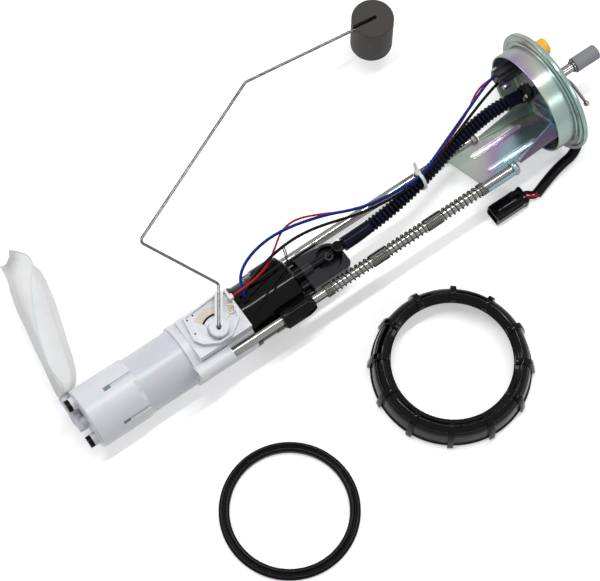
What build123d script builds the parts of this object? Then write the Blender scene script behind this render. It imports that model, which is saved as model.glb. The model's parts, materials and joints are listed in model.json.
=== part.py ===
from math import cos, pi, radians, sin, tan
import os

from build123d import *

# A fuel pump module lying on a bench, with its lock ring and its gasket beside it.
# +X runs along the module from the strainer end to the mounting flange, +Z is up.
# The origin is on the bench, under the middle of the outline. Lengths are in millimetres.

os.makedirs("parts", exist_ok=True)

# Clearances: between pieces that seat, between a rod and its guide, between soft neighbours
seat_gap = 0.05
slide_gap = 0.06
soft_gap = 0.3

# Mounting flange
flange_r = 55.0
skirt_r = flange_r - 9.0
skirt_length = 18.5
flange_sheet = 1.2
rim_step_r = flange_r - 4.5
rim_step = 1.0
rim_lip = 2.6
seat_x = 207.5
flange_y = 34.0
flange_z = flange_r

# Guide rods and the bracket that carries them
rod_r = 4.0
rod_spacing = 65.0
rod_tilt = 36.0
rod_low_x = -160.0
rod_top_x = 148.5
rod_chamfer = 0.8
swage_r = 4.9
swage_length = 2.5
swage_chamfer = 0.6
bracket_sheet = 1.5
bracket_low_x = 119.5
bracket_shoulder_x = 153.5
bracket_top_far = 20.4
bracket_top_near = 8.2
channel_wall = 1.4
channel_open = 1.2
rib_length = 46.0
rib_low_x = 133.5
rib_r = 2.2
rib_height = 1.6
rib_places = (11.3, -17.1)
foot_length = 15.0
wing_low = 3.0
wing_top = 13.0
wing_bend = 50.0
foot_slot_length = 8.0
foot_slot_width = 2.6

# Reservoir canister and its bottom cap
can_r = 25.3
can_wall = 2.0
can_y = 21.5
can_top_x = -150.0
cap_r = 26.8
cap_floor = 2.5
cap_low_x = -257.0
cap_length = 48.0
cap_tab_step = 3.0
cap_slot_width = 3.6
cap_slot_length = 26.0
cap_slot_count = 5
cap_slot_angle = 80.0
snap_height = 1.0
snap_length = 6.0

# Legs and rubber feet
leg_r = 5.6
leg_length = 4.4
leg_circle_r = 17.5
leg_angles = (34.0, -54.0, -142.0)
foot_r = 5.2
foot_thick = 3.8

# Upper housing of the reservoir, with the guides for the rods
upper_r = 27.6
can_z = upper_r
upper_wall = 2.0
upper_floor = 2.5
upper_low_x = -164.5
upper_top_x = -108.0
sleeve_r = 7.0
sleeve_low_x = -165.5
sleeve_length = 33.0
web_thick = 8.0
seat_height = 28.8
seat_low_x = -157.5
seat_low_y = 3.0
seat_high_y = 41.0

# Filter housing and its head
filter_r = 26.0
filter_wall = 2.2
filter_top_x = -54.5
filter_ring_r = 27.4
filter_ring_width = 5.0
filter_band_r = 26.7
filter_band_x = -88.0
filter_band_width = 7.0
ear_r = 7.2
ear_low_x = -83.0
ear_length = 28.5
spigot_length = 8.0
lobe_y = 36.5
lobe_z = 38.0
lobe_r = 11.5
lobe_low_x = -82.0
lobe_length = 26.0
lobe_round = 5.0
head_low_x = -46.0
head_top_x = -8.0
head_y = 19.0
head_half_y = 15.5
head_shoulder_x = -23.5
head_shoulder_y = 32.0
head_tip_y = 16.5
head_low_z = 12.0
head_top_z = 43.0
head_corner_near = 5.0
head_corner_far = 2.0
neck_half_y = 11.0
outlet_tube_r = 5.0
outlet_tube_top_x = -38.0
element_r = 23.0
element_bore_r = 9.0
element_length = 42.0

# Regulator, retaining clip and outlet elbow
regulator_r = 11.2
regulator_x = -21.5
regulator_y = 18.8
regulator_depth = 24.0
regulator_length = 17.5
snap_ring_width = 1.8
snap_ring_thick = 1.2
clip_r = 3.6
clip_width = 1.4
clip_thick = 1.2
elbow_x = -11.4
elbow_y = 20.8
elbow_r = 5.2
elbow_tube_r = 3.6
elbow_bore_r = 2.2
elbow_plug = 6.0
elbow_top_z = 51.5
elbow_z = 47.1
nipple_length = 22.0

# Electric pump
pump_r = 19.0
pump_wall = 1.5
pump_low_x = -238.0
pump_length = 76.0
pump_end = 3.0
shaft_r = 1.5
armature_r = 13.4
armature_length = 38.0
impeller_r = 16.6
impeller_thick = 3.0
magnet_r = 14.2
port_r = 4.5
port_bore_r = 3.0
isolator_width = 14.0

# Level sender
hub_x = -132.3
hub_y = 13.7
hub_r = 8.0
hub_stub_r = 3.0
frame_floor = 2.0
frame_wall = 1.6
frame_height = 5.2
card_thick = 1.0
card_r = 21.0
card_low_y = 5.0
card_high_x = 14.5
blade_thick = 0.3
screw_x = -114.8
screw_y = 23.4
screw_r = 2.6
screw_height = 1.8
arm_z = 65.0
arm_wire_r = 1.2
arm_knee_near = (-111.6, 44.6)
arm_knee_low = (-143.6, 111.3)
arm_knee_high = (7.4, 180.1)
arm_channel_length = 30.0
arm_channel_width = 6.6
float_x = 127.2
float_y = 165.9
float_r = 18.0
float_height = 44.0
float_top_z = 70.0
float_slot_width = 3.4

# Strainer
duct_r = 4.5
duct_wall = 1.2
duct_z = 23.3
duct_length = 31.6

# Fuel line
hose_r = 5.6
hose_bore_r = 4.05
nipple_r = 4.0
cuff_r = 6.2
cuff_low_length = 16.0
cuff_top_length = 13.0
pipe_r = 4.0
pipe_bore_r = 2.8
pipe_y = 39.5
pipe_z = 54.0
pipe_top_x = 264.0
pipe_slope = 15.0
pipe_inner_length = 14.0
bead_r = 5.6
bead_width = 2.4
clamp_place = 13.0
clamp_band_width = 8.0
clamp_band_thick = 0.8
clamp_housing = 9.0
clamp_screw_r = 1.5
clamp_head_r = 3.6
clamp_head_length = 4.0
grey_cap_r = 6.7
grey_cap_low_x = 244.6
grey_cap_length = 23.5

# Valve stub with its yellow cap, and the vent tube
stub_y = 59.0
stub_z = 80.0
stub_r = 5.0
stub_length = 16.0
stub_collar_r = 7.2
stub_collar_length = 5.5
yellow_cap_r = 7.5
yellow_cap_length = 12.5
vent_y = 37.0
vent_z = 64.0
vent_r = 1.3
vent_reach = 21.3
vent_bend_r = 14.0
vent_drop = 34.5
vent_tip_r = 2.4

# Lead connector under the flange and its bulkhead half
plug_low_x = 179.0
plug_low_y = 57.0
plug_high_y = 69.0
plug_low_z = 58.0
plug_high_z = 71.0
plug_pitch = 5.0
plug_hole_depth = 5.0
bulkhead_top_x = 214.0

# Wires from the lead connector to the sender and the pump
blue_r = 1.3
red_r = 0.9
black_r = 1.25
terminal_x = -110.2
terminal_y = 30.0
terminal_width = 4.0
block_size = 7.0
block_low_x = upper_top_x + filter_ring_width + seat_gap
block_y = 26.0
block_z = 52.0
tie_x = 77.0
tie_y = 28.0
tie_z = 54.8
tie_half_width = 7.2
tie_half_height = 9.5
tie_band = 2.6
tie_thick = 1.0

# Spring on the near rod
spring_low_x = -42.0
spring_wire_r = 0.65
spring_mean_r = 4.95
spring_closed = (5, 12, 12, 4)
spring_open = 9

# Pigtail: a sheathed lead from the flange to a plug that lies on the bench
gland_r = 6.5
gland_height = 12.0
gland_y = 31.0
gland_z = 46.0
sheath_r = 4.4
pigtail_plug_low_x = 122.0
pigtail_plug_length = 33.0
pigtail_plug_y = -17.6
pigtail_plug_width = 15.0
pigtail_plug_height = 12.0
pigtail_plug_wall = 1.3

# Lock ring and gasket
ring_x = 15.0
ring_y = -104.2
ring_body_r = 66.0
ring_bore_r = ring_body_r - 16.0
ring_thread_r = ring_body_r - 6.0
ring_shoulder_r = ring_body_r - 3.5
ring_rib_r = ring_body_r + 3.0
ring_height = 24.0
ring_lip = 4.0
ring_rib_width = 7.0
ring_rib_count = 12
gasket_x = -162.4
gasket_y = -127.3
gasket_r = 57.0
gasket_bore_r = gasket_r - 8.9
gasket_height = 5.6

# Where the rods run
rod_reach_y = rod_spacing / 2 * cos(radians(rod_tilt))
rod_reach_z = rod_spacing / 2 * sin(radians(rod_tilt))
near_rod = (can_y - rod_reach_y, can_z + rod_reach_z)
far_rod = (can_y + rod_reach_y, can_z - rod_reach_z)
rod_plane = Plane(
    origin=(0, can_y, can_z),
    x_dir=(1, 0, 0),
    z_dir=(0, sin(radians(rod_tilt)), cos(radians(rod_tilt))),
)
sender_z = can_z + seat_height


def across(x, y=0.0, z=0.0, turn=0.0):
    """A sketch plane square to the module's length, its own x along +Y turned about X."""
    direction = Vector(0, cos(radians(turn)), sin(radians(turn)))
    return Plane(origin=(x, y, z), x_dir=direction, z_dir=(1, 0, 0))


def lengthwise(y, z):
    """A sketch plane through a lengthwise axis: its x is X, its y the height above the axis."""
    return Plane(origin=(0, y, z), x_dir=(1, 0, 0), z_dir=(0, -1, 0))


def turned(corners, y, z):
    """A solid turned about a lengthwise axis from its (x, radius) corners."""
    with BuildPart() as piece:
        with BuildSketch(lengthwise(y, z)):
            with BuildLine():
                Polyline(*corners, close=True)
            make_face()
        revolve(axis=Axis((0, y, z), (1, 0, 0)))
    return piece.part


def ring_turned(low_x, high_x, outer, inner, y, z):
    """A plain tube along the module."""
    return turned([(low_x, inner), (high_x, inner), (high_x, outer), (low_x, outer)], y, z)


def tube(points, outer_r, bore_r=0.0, name=""):
    """A round tube: straight runs joined by arcs, each as large as its two runs allow."""
    corners = [Vector(*point) for point in points]
    radii = []
    for before, corner, after in zip(corners, corners[1:], corners[2:]):
        run_in = corner - before
        run_out = after - corner
        half_turn = radians(run_in.get_angle(run_out)) / 2
        radii.append(0.45 * min(run_in.length, run_out.length) / tan(half_turn))
    with BuildPart() as piece:
        with BuildLine() as path:
            FilletPolyline(*corners, radius=radii)
        with BuildSketch(Plane(origin=path.line @ 0, z_dir=path.line % 0)):
            Circle(outer_r)
            if bore_r:
                Circle(bore_r, mode=Mode.SUBTRACT)
        sweep(path=path.line)
    if name:
        length = sum(edge.length for edge in path.edges())
        volume = pi * (outer_r**2 - bore_r**2) * length
        print(name, "length", round(length, 1), "radii", [round(r, 1) for r in radii])
        print(name, "volume", round(piece.part.volume, 1), "section x length", round(volume, 1))
    return piece.part


# Flange: a drawn cup with a stepped rim, a rolled edge and a hole for each fitting
with BuildPart() as flange:
    add(
        turned(
            [
                (seat_x, 0),
                (seat_x, skirt_r - flange_sheet),
                (seat_x - skirt_length, skirt_r - flange_sheet),
                (seat_x - skirt_length, skirt_r),
                (seat_x, skirt_r),
                (seat_x, rim_step_r),
                (seat_x + rim_step, rim_step_r + rim_step),
                (seat_x + rim_step, flange_r),
                (seat_x + rim_step + rim_lip, flange_r),
                (seat_x + rim_step + rim_lip, flange_r - flange_sheet),
                (seat_x + rim_step + flange_sheet, flange_r - flange_sheet),
                (seat_x + rim_step + flange_sheet, rim_step_r + rim_step / 2),
                (seat_x + flange_sheet, rim_step_r - rim_step / 2),
                (seat_x + flange_sheet, 0),
            ],
            flange_y,
            flange_z,
        )
    )
    with BuildSketch(across(seat_x)):
        with Locations((pipe_y, pipe_z)):
            Circle(pipe_r + seat_gap)
        with Locations((stub_y, stub_z)):
            Circle(stub_r + seat_gap)
        with Locations((vent_y, vent_z)):
            Circle(vent_r + seat_gap)
        with Locations(((plug_low_y + plug_high_y) / 2, (plug_low_z + plug_high_z) / 2)):
            Rectangle(plug_high_y - plug_low_y - 2, plug_high_z - plug_low_z - 2)
    extrude(amount=flange_sheet, mode=Mode.SUBTRACT)
flange.part.label = "flange"
export_step(flange.part, "parts/flange.step")


def guide_rod(place):
    """A rod with a chamfered lower end and a swaged head above its channel."""
    y, z = place
    return turned(
        [
            (rod_low_x, 0),
            (rod_low_x, rod_r - rod_chamfer),
            (rod_low_x + rod_chamfer, rod_r),
            (rod_top_x, rod_r),
            (rod_top_x, swage_r - swage_chamfer),
            (rod_top_x + swage_chamfer, swage_r),
            (rod_top_x + swage_length - swage_chamfer, swage_r),
            (rod_top_x + swage_length, swage_r - swage_chamfer),
            (rod_top_x + swage_length, 0),
        ],
        y,
        z,
    )


with BuildPart() as guide_rod_near:
    add(guide_rod(near_rod))
guide_rod_near.part.label = "guide_rod_near"
export_step(guide_rod_near.part, "parts/guide_rod_near.step")

with BuildPart() as guide_rod_far:
    add(guide_rod(far_rod))
guide_rod_far.part.label = "guide_rod_far"
export_step(guide_rod_far.part, "parts/guide_rod_far.step")

# Bracket: one sheet with two pressed ribs, half-round channels for the rods and bent wings
channel_edge = rod_spacing / 2 - rod_r - channel_wall / 2
bracket_edge = rod_spacing / 2 - swage_r - 2 * soft_gap
channel_top_x = rod_top_x - seat_gap
bracket_top_x = seat_x - bracket_sheet - seat_gap
bracket_taper = {
    1: ((bracket_shoulder_x, bracket_edge), (bracket_top_x, bracket_top_far)),
    -1: ((bracket_shoulder_x + 4, -bracket_edge), (bracket_top_x, -bracket_top_near)),
}


def wing_plane(start, end, side):
    """The plane of a wing: its x along the folded edge, its y away from the plate."""
    low = rod_plane.from_local_coords(Vector(*start))
    top = rod_plane.from_local_coords(Vector(*end))
    along = (top - low).normalized()
    outward = along.cross(rod_plane.z_dir) * -side
    lift = side * sin(radians(wing_bend))
    leaning = outward * cos(radians(wing_bend)) + rod_plane.z_dir * lift
    return Plane(origin=low, x_dir=along, z_dir=along.cross(leaning)), (top - low).length


with BuildPart() as bracket:
    with BuildSketch(rod_plane):
        with BuildLine():
            Polyline(
                (bracket_low_x, channel_edge),
                (channel_top_x, channel_edge),
                (channel_top_x, bracket_edge),
                *bracket_taper[1],
                *reversed(bracket_taper[-1]),
                (channel_top_x, -bracket_edge),
                (channel_top_x, -channel_edge),
                (bracket_low_x, -channel_edge),
                close=True,
            )
        make_face()
    extrude(amount=bracket_sheet / 2, both=True)
    for side, (start, end) in bracket_taper.items():
        plane, length = wing_plane(start, end, side)
        with BuildSketch(plane):
            with BuildLine():
                Polyline((0, 0), (length, 0), (length, wing_top), (0, wing_low), close=True)
            make_face()
        extrude(amount=bracket_sheet / 2, both=True)
    for place in (near_rod, far_rod):
        with BuildSketch(across(bracket_low_x, *place, -rod_tilt)):
            Circle(rod_r + seat_gap + channel_wall)
            with Locations((0, rod_r + channel_open)):
                Rectangle(4 * rod_r, 2 * rod_r, mode=Mode.SUBTRACT)
        extrude(amount=channel_top_x - bracket_low_x)
    with BuildSketch(across(bracket_top_x + bracket_sheet, flange_y, flange_z)):
        Circle(flange_r)
    extrude(amount=wing_top, mode=Mode.SUBTRACT)
    foot_middle = (bracket_top_far - bracket_top_near) / 2
    foot_plane = Plane(
        origin=rod_plane.from_local_coords(Vector(bracket_top_x, foot_middle)),
        x_dir=rod_plane.y_dir,
        z_dir=(1, 0, 0),
    )
    with BuildSketch(foot_plane):
        with Locations((0, foot_length / 2 - bracket_sheet / 2)):
            Rectangle(bracket_top_far + bracket_top_near + bracket_sheet, foot_length)
        with Locations((foot_middle / 2, foot_length * 0.6)):
            SlotOverall(foot_slot_length, foot_slot_width, mode=Mode.SUBTRACT)
    extrude(amount=bracket_sheet)
    for place in rib_places:
        with BuildSketch(rod_plane.offset(bracket_sheet / 2)):
            with Locations((rib_low_x + rib_length / 2, place)):
                SlotOverall(rib_length, 2 * rib_r)
        extrude(amount=rib_height, taper=38)
    for place in (near_rod, far_rod):
        with BuildSketch(across(bracket_low_x, *place)):
            Circle(rod_r + seat_gap)
        extrude(amount=rod_top_x - bracket_low_x, mode=Mode.SUBTRACT)
bracket.part.label = "bracket"
export_step(bracket.part, "parts/bracket.step")

# Canister: an open tube with a snap hook in each of the cap's slots
can_low_x = cap_low_x + cap_floor + seat_gap
slot_turns = [cap_slot_angle + 360 * i / cap_slot_count for i in range(cap_slot_count)]
slot_low_x = cap_low_x + cap_length - cap_slot_length
with BuildPart() as canister:
    add(ring_turned(can_low_x, can_top_x, can_r, can_r - can_wall, can_y, can_z))
    for turn in slot_turns:
        with BuildSketch(across(slot_low_x + seat_gap, can_y, can_z, turn)):
            with Locations((can_r - can_wall / 2 + snap_height / 2, 0)):
                Rectangle(can_wall + snap_height, cap_slot_width - 1)
        extrude(amount=snap_length)
    with BuildSketch(across(slot_low_x - 1, can_y, can_z)):
        Circle(can_r - can_wall)
    extrude(amount=snap_length + 2, mode=Mode.SUBTRACT)
canister.part.label = "canister"
export_step(canister.part, "parts/canister.step")

# Bottom cap: a cup with open slots, a stepped upper edge, legs and the inlet hole
cap_bore_r = can_r + seat_gap
with BuildPart() as bottom_cap:
    add(
        turned(
            [
                (cap_low_x, duct_r + seat_gap),
                (cap_low_x, cap_r - 1),
                (cap_low_x + 1, cap_r),
                (cap_low_x + cap_length, cap_r),
                (cap_low_x + cap_length, cap_bore_r),
                (cap_low_x + cap_floor, cap_bore_r),
                (cap_low_x + cap_floor, duct_r + seat_gap),
            ],
            can_y,
            can_z,
        )
    )
    for turn in slot_turns:
        with BuildSketch(across(slot_low_x, can_y, can_z, turn)):
            with Locations((can_r + 2, 0)):
                Rectangle(4, cap_slot_width)
        extrude(amount=cap_slot_length, mode=Mode.SUBTRACT)
        with BuildSketch(across(cap_low_x + cap_length, can_y, can_z, turn + 36)):
            with Locations((can_r + 2, 0)):
                Rectangle(4, can_r * 0.9)
        extrude(amount=-cap_tab_step, mode=Mode.SUBTRACT)
    with BuildSketch(across(cap_low_x, can_y, can_z)):
        for angle in leg_angles:
            with PolarLocations(leg_circle_r, 1, start_angle=angle):
                Circle(leg_r)
    extrude(amount=-leg_length, taper=3)
bottom_cap.part.label = "bottom_cap"
export_step(bottom_cap.part, "parts/bottom_cap.step")

with BuildPart() as feet:
    with BuildSketch(across(cap_low_x - leg_length, can_y, can_z)):
        for angle in leg_angles:
            with PolarLocations(leg_circle_r, 1, start_angle=angle):
                Circle(foot_r)
    extrude(amount=-foot_thick)
feet.part.label = "rubber_feet"
export_step(feet.part, "parts/rubber_feet.step")

# Strainer: a rigid duct across the cap's end, and the bag on its far side
duct_x = cap_low_x - duct_r - seat_gap
duct_low_y = can_y - duct_r
duct_high_y = duct_low_y + duct_length
with BuildPart() as strainer_duct:
    with BuildSketch(Plane(origin=(duct_x, duct_low_y, duct_z), z_dir=(0, 1, 0))):
        Circle(duct_r)
    extrude(amount=duct_length)
    with BuildSketch(across(duct_x, can_y, can_z)):
        Circle(duct_r)
    extrude(amount=pump_low_x - seat_gap - duct_x)
    with BuildSketch(Plane(origin=(duct_x, can_y, duct_z), z_dir=(0, 1, 0))):
        Circle(duct_r - duct_wall)
    extrude(amount=duct_high_y - can_y, mode=Mode.SUBTRACT)
    with BuildSketch(across(duct_x, can_y, can_z)):
        Circle(duct_r - duct_wall)
    extrude(amount=pump_low_x - duct_x, mode=Mode.SUBTRACT)
strainer_duct.part.label = "strainer_duct"
export_step(strainer_duct.part, "parts/strainer_duct.step")

# Strainer bag: two arcs that meet at the seams in each section, flat at its sewn end
sock_sections = (
    (duct_high_y + soft_gap, -260.2, 5.2, 6.0),
    (61.0, -253.2, 9.0, 12.0),
    (90.0, -245.2, 11.8, 14.8),
    (133.0, -234.6, 13.0, 16.8),
    (156.0, -231.6, 10.8, 16.6),
    (170.0, -231.8, 5.6, 15.4),
    (180.5, -232.6, 0.8, 13.4),
)
sock_z = 25.0
with BuildPart() as strainer_sock:
    for y, x, half_width, half_height in sock_sections:
        with BuildSketch(Plane(origin=(x, y, sock_z), x_dir=(1, 0, 0), z_dir=(0, 1, 0))):
            with BuildLine():
                ThreePointArc((0, half_height), (half_width, 0), (0, -half_height))
                ThreePointArc((0, -half_height), (-half_width, 0), (0, half_height))
            make_face()
    loft(ruled=True)
strainer_sock.part.label = "strainer_sock"
export_step(strainer_sock.part, "parts/strainer_sock.step")

# Upper housing: the canister's socket, a floor, two rod guides and the sender's seat
with BuildPart() as upper_housing:
    with BuildSketch(across(upper_low_x, can_y, can_z)):
        Circle(upper_r)
    extrude(amount=upper_top_x - upper_low_x)
    for place in (near_rod, far_rod):
        with BuildSketch(across(sleeve_low_x, *place)):
            Circle(sleeve_r)
        extrude(amount=sleeve_length)
    with BuildSketch(across(sleeve_low_x, can_y, can_z, -rod_tilt)):
        Rectangle(rod_spacing, web_thick)
    extrude(amount=sleeve_length)
    seat_middle_y = (seat_low_y + seat_high_y) / 2
    with BuildSketch(Plane.XY.offset(can_z)):
        with Locations(((seat_low_x + upper_top_x) / 2, seat_middle_y)):
            Rectangle(upper_top_x - seat_low_x, seat_high_y - seat_low_y)
    extrude(amount=seat_height)
    with BuildSketch(across(sleeve_low_x, can_y, can_z)):
        Circle(can_r + seat_gap)
    extrude(amount=can_top_x + seat_gap - sleeve_low_x, mode=Mode.SUBTRACT)
    with BuildSketch(across(can_top_x + upper_floor, can_y, can_z)):
        Circle(upper_r - upper_wall)
    extrude(amount=upper_top_x - can_top_x, mode=Mode.SUBTRACT)
    with BuildSketch(across(sleeve_low_x, can_y, can_z)):
        Circle(port_r + seat_gap)
    extrude(amount=upper_top_x - sleeve_low_x, mode=Mode.SUBTRACT)
    for place in (near_rod, far_rod):
        with BuildSketch(across(sleeve_low_x, *place)):
            Circle(rod_r + slide_gap)
        extrude(amount=upper_top_x - sleeve_low_x, mode=Mode.SUBTRACT)
    with BuildSketch(Plane.XY.offset(sender_z)):
        with Locations((hub_x, hub_y)):
            Circle(hub_stub_r + 0.5)
    extrude(amount=-1.5, mode=Mode.SUBTRACT)
upper_housing.part.label = "upper_housing"
export_step(upper_housing.part, "parts/upper_housing.step")

# Filter housing: a ringed drum with a spigot, a head block, two rod guides
spigot_r = upper_r - upper_wall - seat_gap
elbow_low_x = outlet_tube_top_x - elbow_plug
filter_bore_r = element_r + soft_gap
with BuildPart() as filter_housing:
    add(
        turned(
            [
                (upper_top_x - spigot_length, 0),
                (upper_top_x - spigot_length, spigot_r),
                (upper_top_x, spigot_r),
                (upper_top_x, filter_ring_r),
                (upper_top_x + filter_ring_width, filter_ring_r),
                (upper_top_x + filter_ring_width, filter_r),
                (filter_band_x, filter_r),
                (filter_band_x, filter_band_r),
                (filter_band_x + filter_band_width, filter_band_r),
                (filter_band_x + filter_band_width, filter_r),
                (filter_top_x - filter_wall, filter_r),
                (filter_top_x, filter_r - filter_wall),
                (filter_top_x, 0),
            ],
            can_y,
            can_z,
        )
    )
    with BuildSketch(across(filter_top_x, head_y, (head_low_z + head_top_z) / 2)):
        RectangleRounded(2 * neck_half_y, head_top_z - head_low_z - 6, 3)
    extrude(amount=head_low_x - filter_top_x)
    with BuildSketch(Plane.XY.offset(head_low_z)):
        with BuildLine():
            FilletPolyline(
                (head_low_x, head_y - head_half_y),
                (head_top_x, head_y - head_half_y),
                (head_top_x, head_tip_y),
                (head_shoulder_x, head_shoulder_y),
                (head_low_x, head_y + head_half_y),
                radius=(1, head_corner_near, head_corner_far, head_corner_far, 1),
                close=True,
            )
        make_face()
        with Locations((regulator_x, regulator_y)):
            Circle(regulator_r + filter_wall)
    extrude(amount=head_top_z - head_low_z)
    with BuildSketch(across(filter_top_x - 1, elbow_y, head_top_z)):
        Circle(outlet_tube_r)
    extrude(amount=outlet_tube_top_x - filter_top_x + 1)
    lobe_top_x = lobe_low_x + lobe_length
    add(
        turned(
            [
                (lobe_low_x, 0),
                (lobe_low_x, lobe_r),
                (lobe_top_x - lobe_round, lobe_r),
                (lobe_top_x - 0.3 * lobe_round, lobe_r - 0.3 * lobe_round),
                (lobe_top_x, lobe_r - lobe_round),
                (lobe_top_x, 0),
            ],
            lobe_y,
            lobe_z,
        )
    )
    for place in (near_rod, far_rod):
        with BuildSketch(across(ear_low_x, *place)):
            Circle(ear_r)
        extrude(amount=ear_length)
    with BuildSketch(across(ear_low_x, can_y, can_z, -rod_tilt)):
        Rectangle(rod_spacing, web_thick)
    extrude(amount=ear_length)
    with BuildSketch(across(upper_top_x - spigot_length, can_y, can_z)):
        Circle(filter_bore_r)
    extrude(amount=filter_top_x - filter_wall - upper_top_x + spigot_length, mode=Mode.SUBTRACT)
    with BuildSketch(Plane.XY.offset(head_top_z)):
        with Locations((regulator_x, regulator_y)):
            Circle(regulator_r + seat_gap)
    extrude(amount=-regulator_depth, mode=Mode.SUBTRACT)
    with BuildSketch(across(elbow_low_x - seat_gap, elbow_y, head_top_z)):
        Circle(elbow_tube_r + seat_gap)
    extrude(amount=elbow_x - elbow_low_x, mode=Mode.SUBTRACT)
    with BuildSketch(across(filter_top_x - filter_wall - 1, elbow_y, head_top_z)):
        Circle(elbow_bore_r)
    extrude(amount=elbow_low_x - filter_top_x + filter_wall + 2, mode=Mode.SUBTRACT)
    for place in (near_rod, far_rod):
        with BuildSketch(across(ear_low_x, *place)):
            Circle(rod_r + slide_gap)
        extrude(amount=ear_length, mode=Mode.SUBTRACT)
filter_housing.part.label = "filter_housing"
export_step(filter_housing.part, "parts/filter_housing.step")

with BuildPart() as filter_element:
    element_low_x = filter_top_x - filter_wall - soft_gap - element_length
    add(
        ring_turned(
            element_low_x, element_low_x + element_length, element_r, element_bore_r, can_y, can_z
        )
    )
filter_element.part.label = "filter_element"
export_step(filter_element.part, "parts/filter_element.step")

# Regulator in its pocket with its snap ring, then the outlet elbow with its clip
regulator_low_z = head_top_z - regulator_depth + seat_gap
regulator_top_z = regulator_low_z + regulator_length
with BuildPart() as pressure_regulator:
    with BuildSketch(Plane.XY.offset(regulator_low_z)):
        with Locations((regulator_x, regulator_y)):
            Circle(regulator_r)
    extrude(amount=regulator_length)
    chamfer(pressure_regulator.faces().sort_by(Axis.Z)[-1].edges(), 0.6)
    with BuildSketch(Plane.XY.offset(regulator_top_z)):
        with Locations((regulator_x, regulator_y)):
            Circle(regulator_r * 0.5)
            Circle(regulator_r * 0.2, mode=Mode.SUBTRACT)
    extrude(amount=-1, mode=Mode.SUBTRACT)
pressure_regulator.part.label = "pressure_regulator"
export_step(pressure_regulator.part, "parts/pressure_regulator.step")

with BuildPart() as snap_ring:
    with BuildSketch(Plane.XY.offset(regulator_top_z + seat_gap)):
        with Locations((regulator_x, regulator_y)):
            Circle(regulator_r)
            Circle(regulator_r - snap_ring_width, mode=Mode.SUBTRACT)
        with Locations((regulator_x, regulator_y - regulator_r)):
            Rectangle(5, 2 * snap_ring_width + 2, mode=Mode.SUBTRACT)
    extrude(amount=snap_ring_thick)
snap_ring.part.label = "snap_ring"
export_step(snap_ring.part, "parts/snap_ring.step")

elbow_low_z = head_top_z + seat_gap
with BuildPart() as outlet_elbow:
    with BuildSketch(Plane.XY.offset(elbow_low_z)):
        with Locations((elbow_x, elbow_y)):
            Circle(elbow_r)
    extrude(amount=elbow_top_z - elbow_low_z)
    fillet(outlet_elbow.faces().sort_by(Axis.Z)[-1].edges(), 1.4)
    with BuildSketch(across(elbow_x, elbow_y, elbow_z)):
        Circle(nipple_r)
    extrude(amount=nipple_length)
    with BuildSketch(across(elbow_low_x, elbow_y, head_top_z)):
        Circle(elbow_tube_r)
    extrude(amount=elbow_x - elbow_low_x - seat_gap)
    with BuildSketch(across(elbow_low_x, elbow_y, head_top_z)):
        Circle(elbow_bore_r)
    extrude(amount=elbow_x - elbow_low_x, mode=Mode.SUBTRACT)
    with BuildSketch(Plane.XY.offset(head_top_z - elbow_bore_r / 2)):
        with Locations((elbow_x - elbow_bore_r, elbow_y)):
            Circle(elbow_bore_r)
    extrude(amount=elbow_z - head_top_z + elbow_bore_r, mode=Mode.SUBTRACT)
    with BuildSketch(across(elbow_x, elbow_y, elbow_z)):
        Circle(elbow_bore_r)
    extrude(amount=nipple_length, mode=Mode.SUBTRACT)
outlet_elbow.part.label = "outlet_elbow"
export_step(outlet_elbow.part, "parts/outlet_elbow.step")

with BuildPart() as elbow_clip:
    with BuildSketch(Plane.XY.offset(head_top_z + elbow_tube_r + seat_gap)):
        with Locations((regulator_x, regulator_y)):
            Circle(clip_r)
            Circle(clip_r - clip_width, mode=Mode.SUBTRACT)
            with Locations((clip_r * 0.8, clip_r * 0.4)):
                Rectangle(clip_r, clip_r * 0.8, mode=Mode.SUBTRACT)
    extrude(amount=clip_thick)
elbow_clip.part.label = "elbow_clip"
export_step(elbow_clip.part, "parts/elbow_clip.step")

# Electric pump: case, magnets, armature with its impeller, rubber isolator
pump_top_x = pump_low_x + pump_length
with BuildPart() as pump_case:
    add(
        turned(
            [
                (pump_low_x, port_bore_r),
                (pump_low_x, pump_r),
                (pump_top_x, pump_r),
                (pump_top_x, port_r),
                (can_top_x + upper_floor - seat_gap, port_r),
                (can_top_x + upper_floor - seat_gap, port_bore_r),
                (pump_top_x - pump_end, port_bore_r),
                (pump_top_x - pump_end, pump_r - pump_wall),
                (pump_low_x + pump_end, pump_r - pump_wall),
                (pump_low_x + pump_end, port_bore_r),
            ],
            can_y,
            can_z,
        )
    )
pump_case.part.label = "pump_case"
export_step(pump_case.part, "parts/pump_case.step")

rotor_low_x = pump_low_x + pump_end + 1.0
armature_low_x = rotor_low_x + impeller_thick + 6.0
with BuildPart() as pump_rotor:
    add(
        turned(
            [
                (rotor_low_x, 0),
                (rotor_low_x, impeller_r),
                (rotor_low_x + impeller_thick, impeller_r),
                (rotor_low_x + impeller_thick, shaft_r),
                (armature_low_x, shaft_r),
                (armature_low_x, armature_r),
                (armature_low_x + armature_length, armature_r),
                (armature_low_x + armature_length, shaft_r),
                (pump_top_x - pump_end - 1.0, shaft_r),
                (pump_top_x - pump_end - 1.0, 0),
            ],
            can_y,
            can_z,
        )
    )
pump_rotor.part.label = "pump_rotor"
export_step(pump_rotor.part, "parts/pump_rotor.step")

with BuildPart() as pump_magnets:
    with BuildSketch(across(armature_low_x, can_y, can_z)):
        Circle(pump_r - pump_wall - seat_gap)
        Circle(magnet_r, mode=Mode.SUBTRACT)
        Rectangle(8, 4 * pump_r, mode=Mode.SUBTRACT)
    extrude(amount=armature_length)
pump_magnets.part.label = "pump_magnets"
export_step(pump_magnets.part, "parts/pump_magnets.step")

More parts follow.
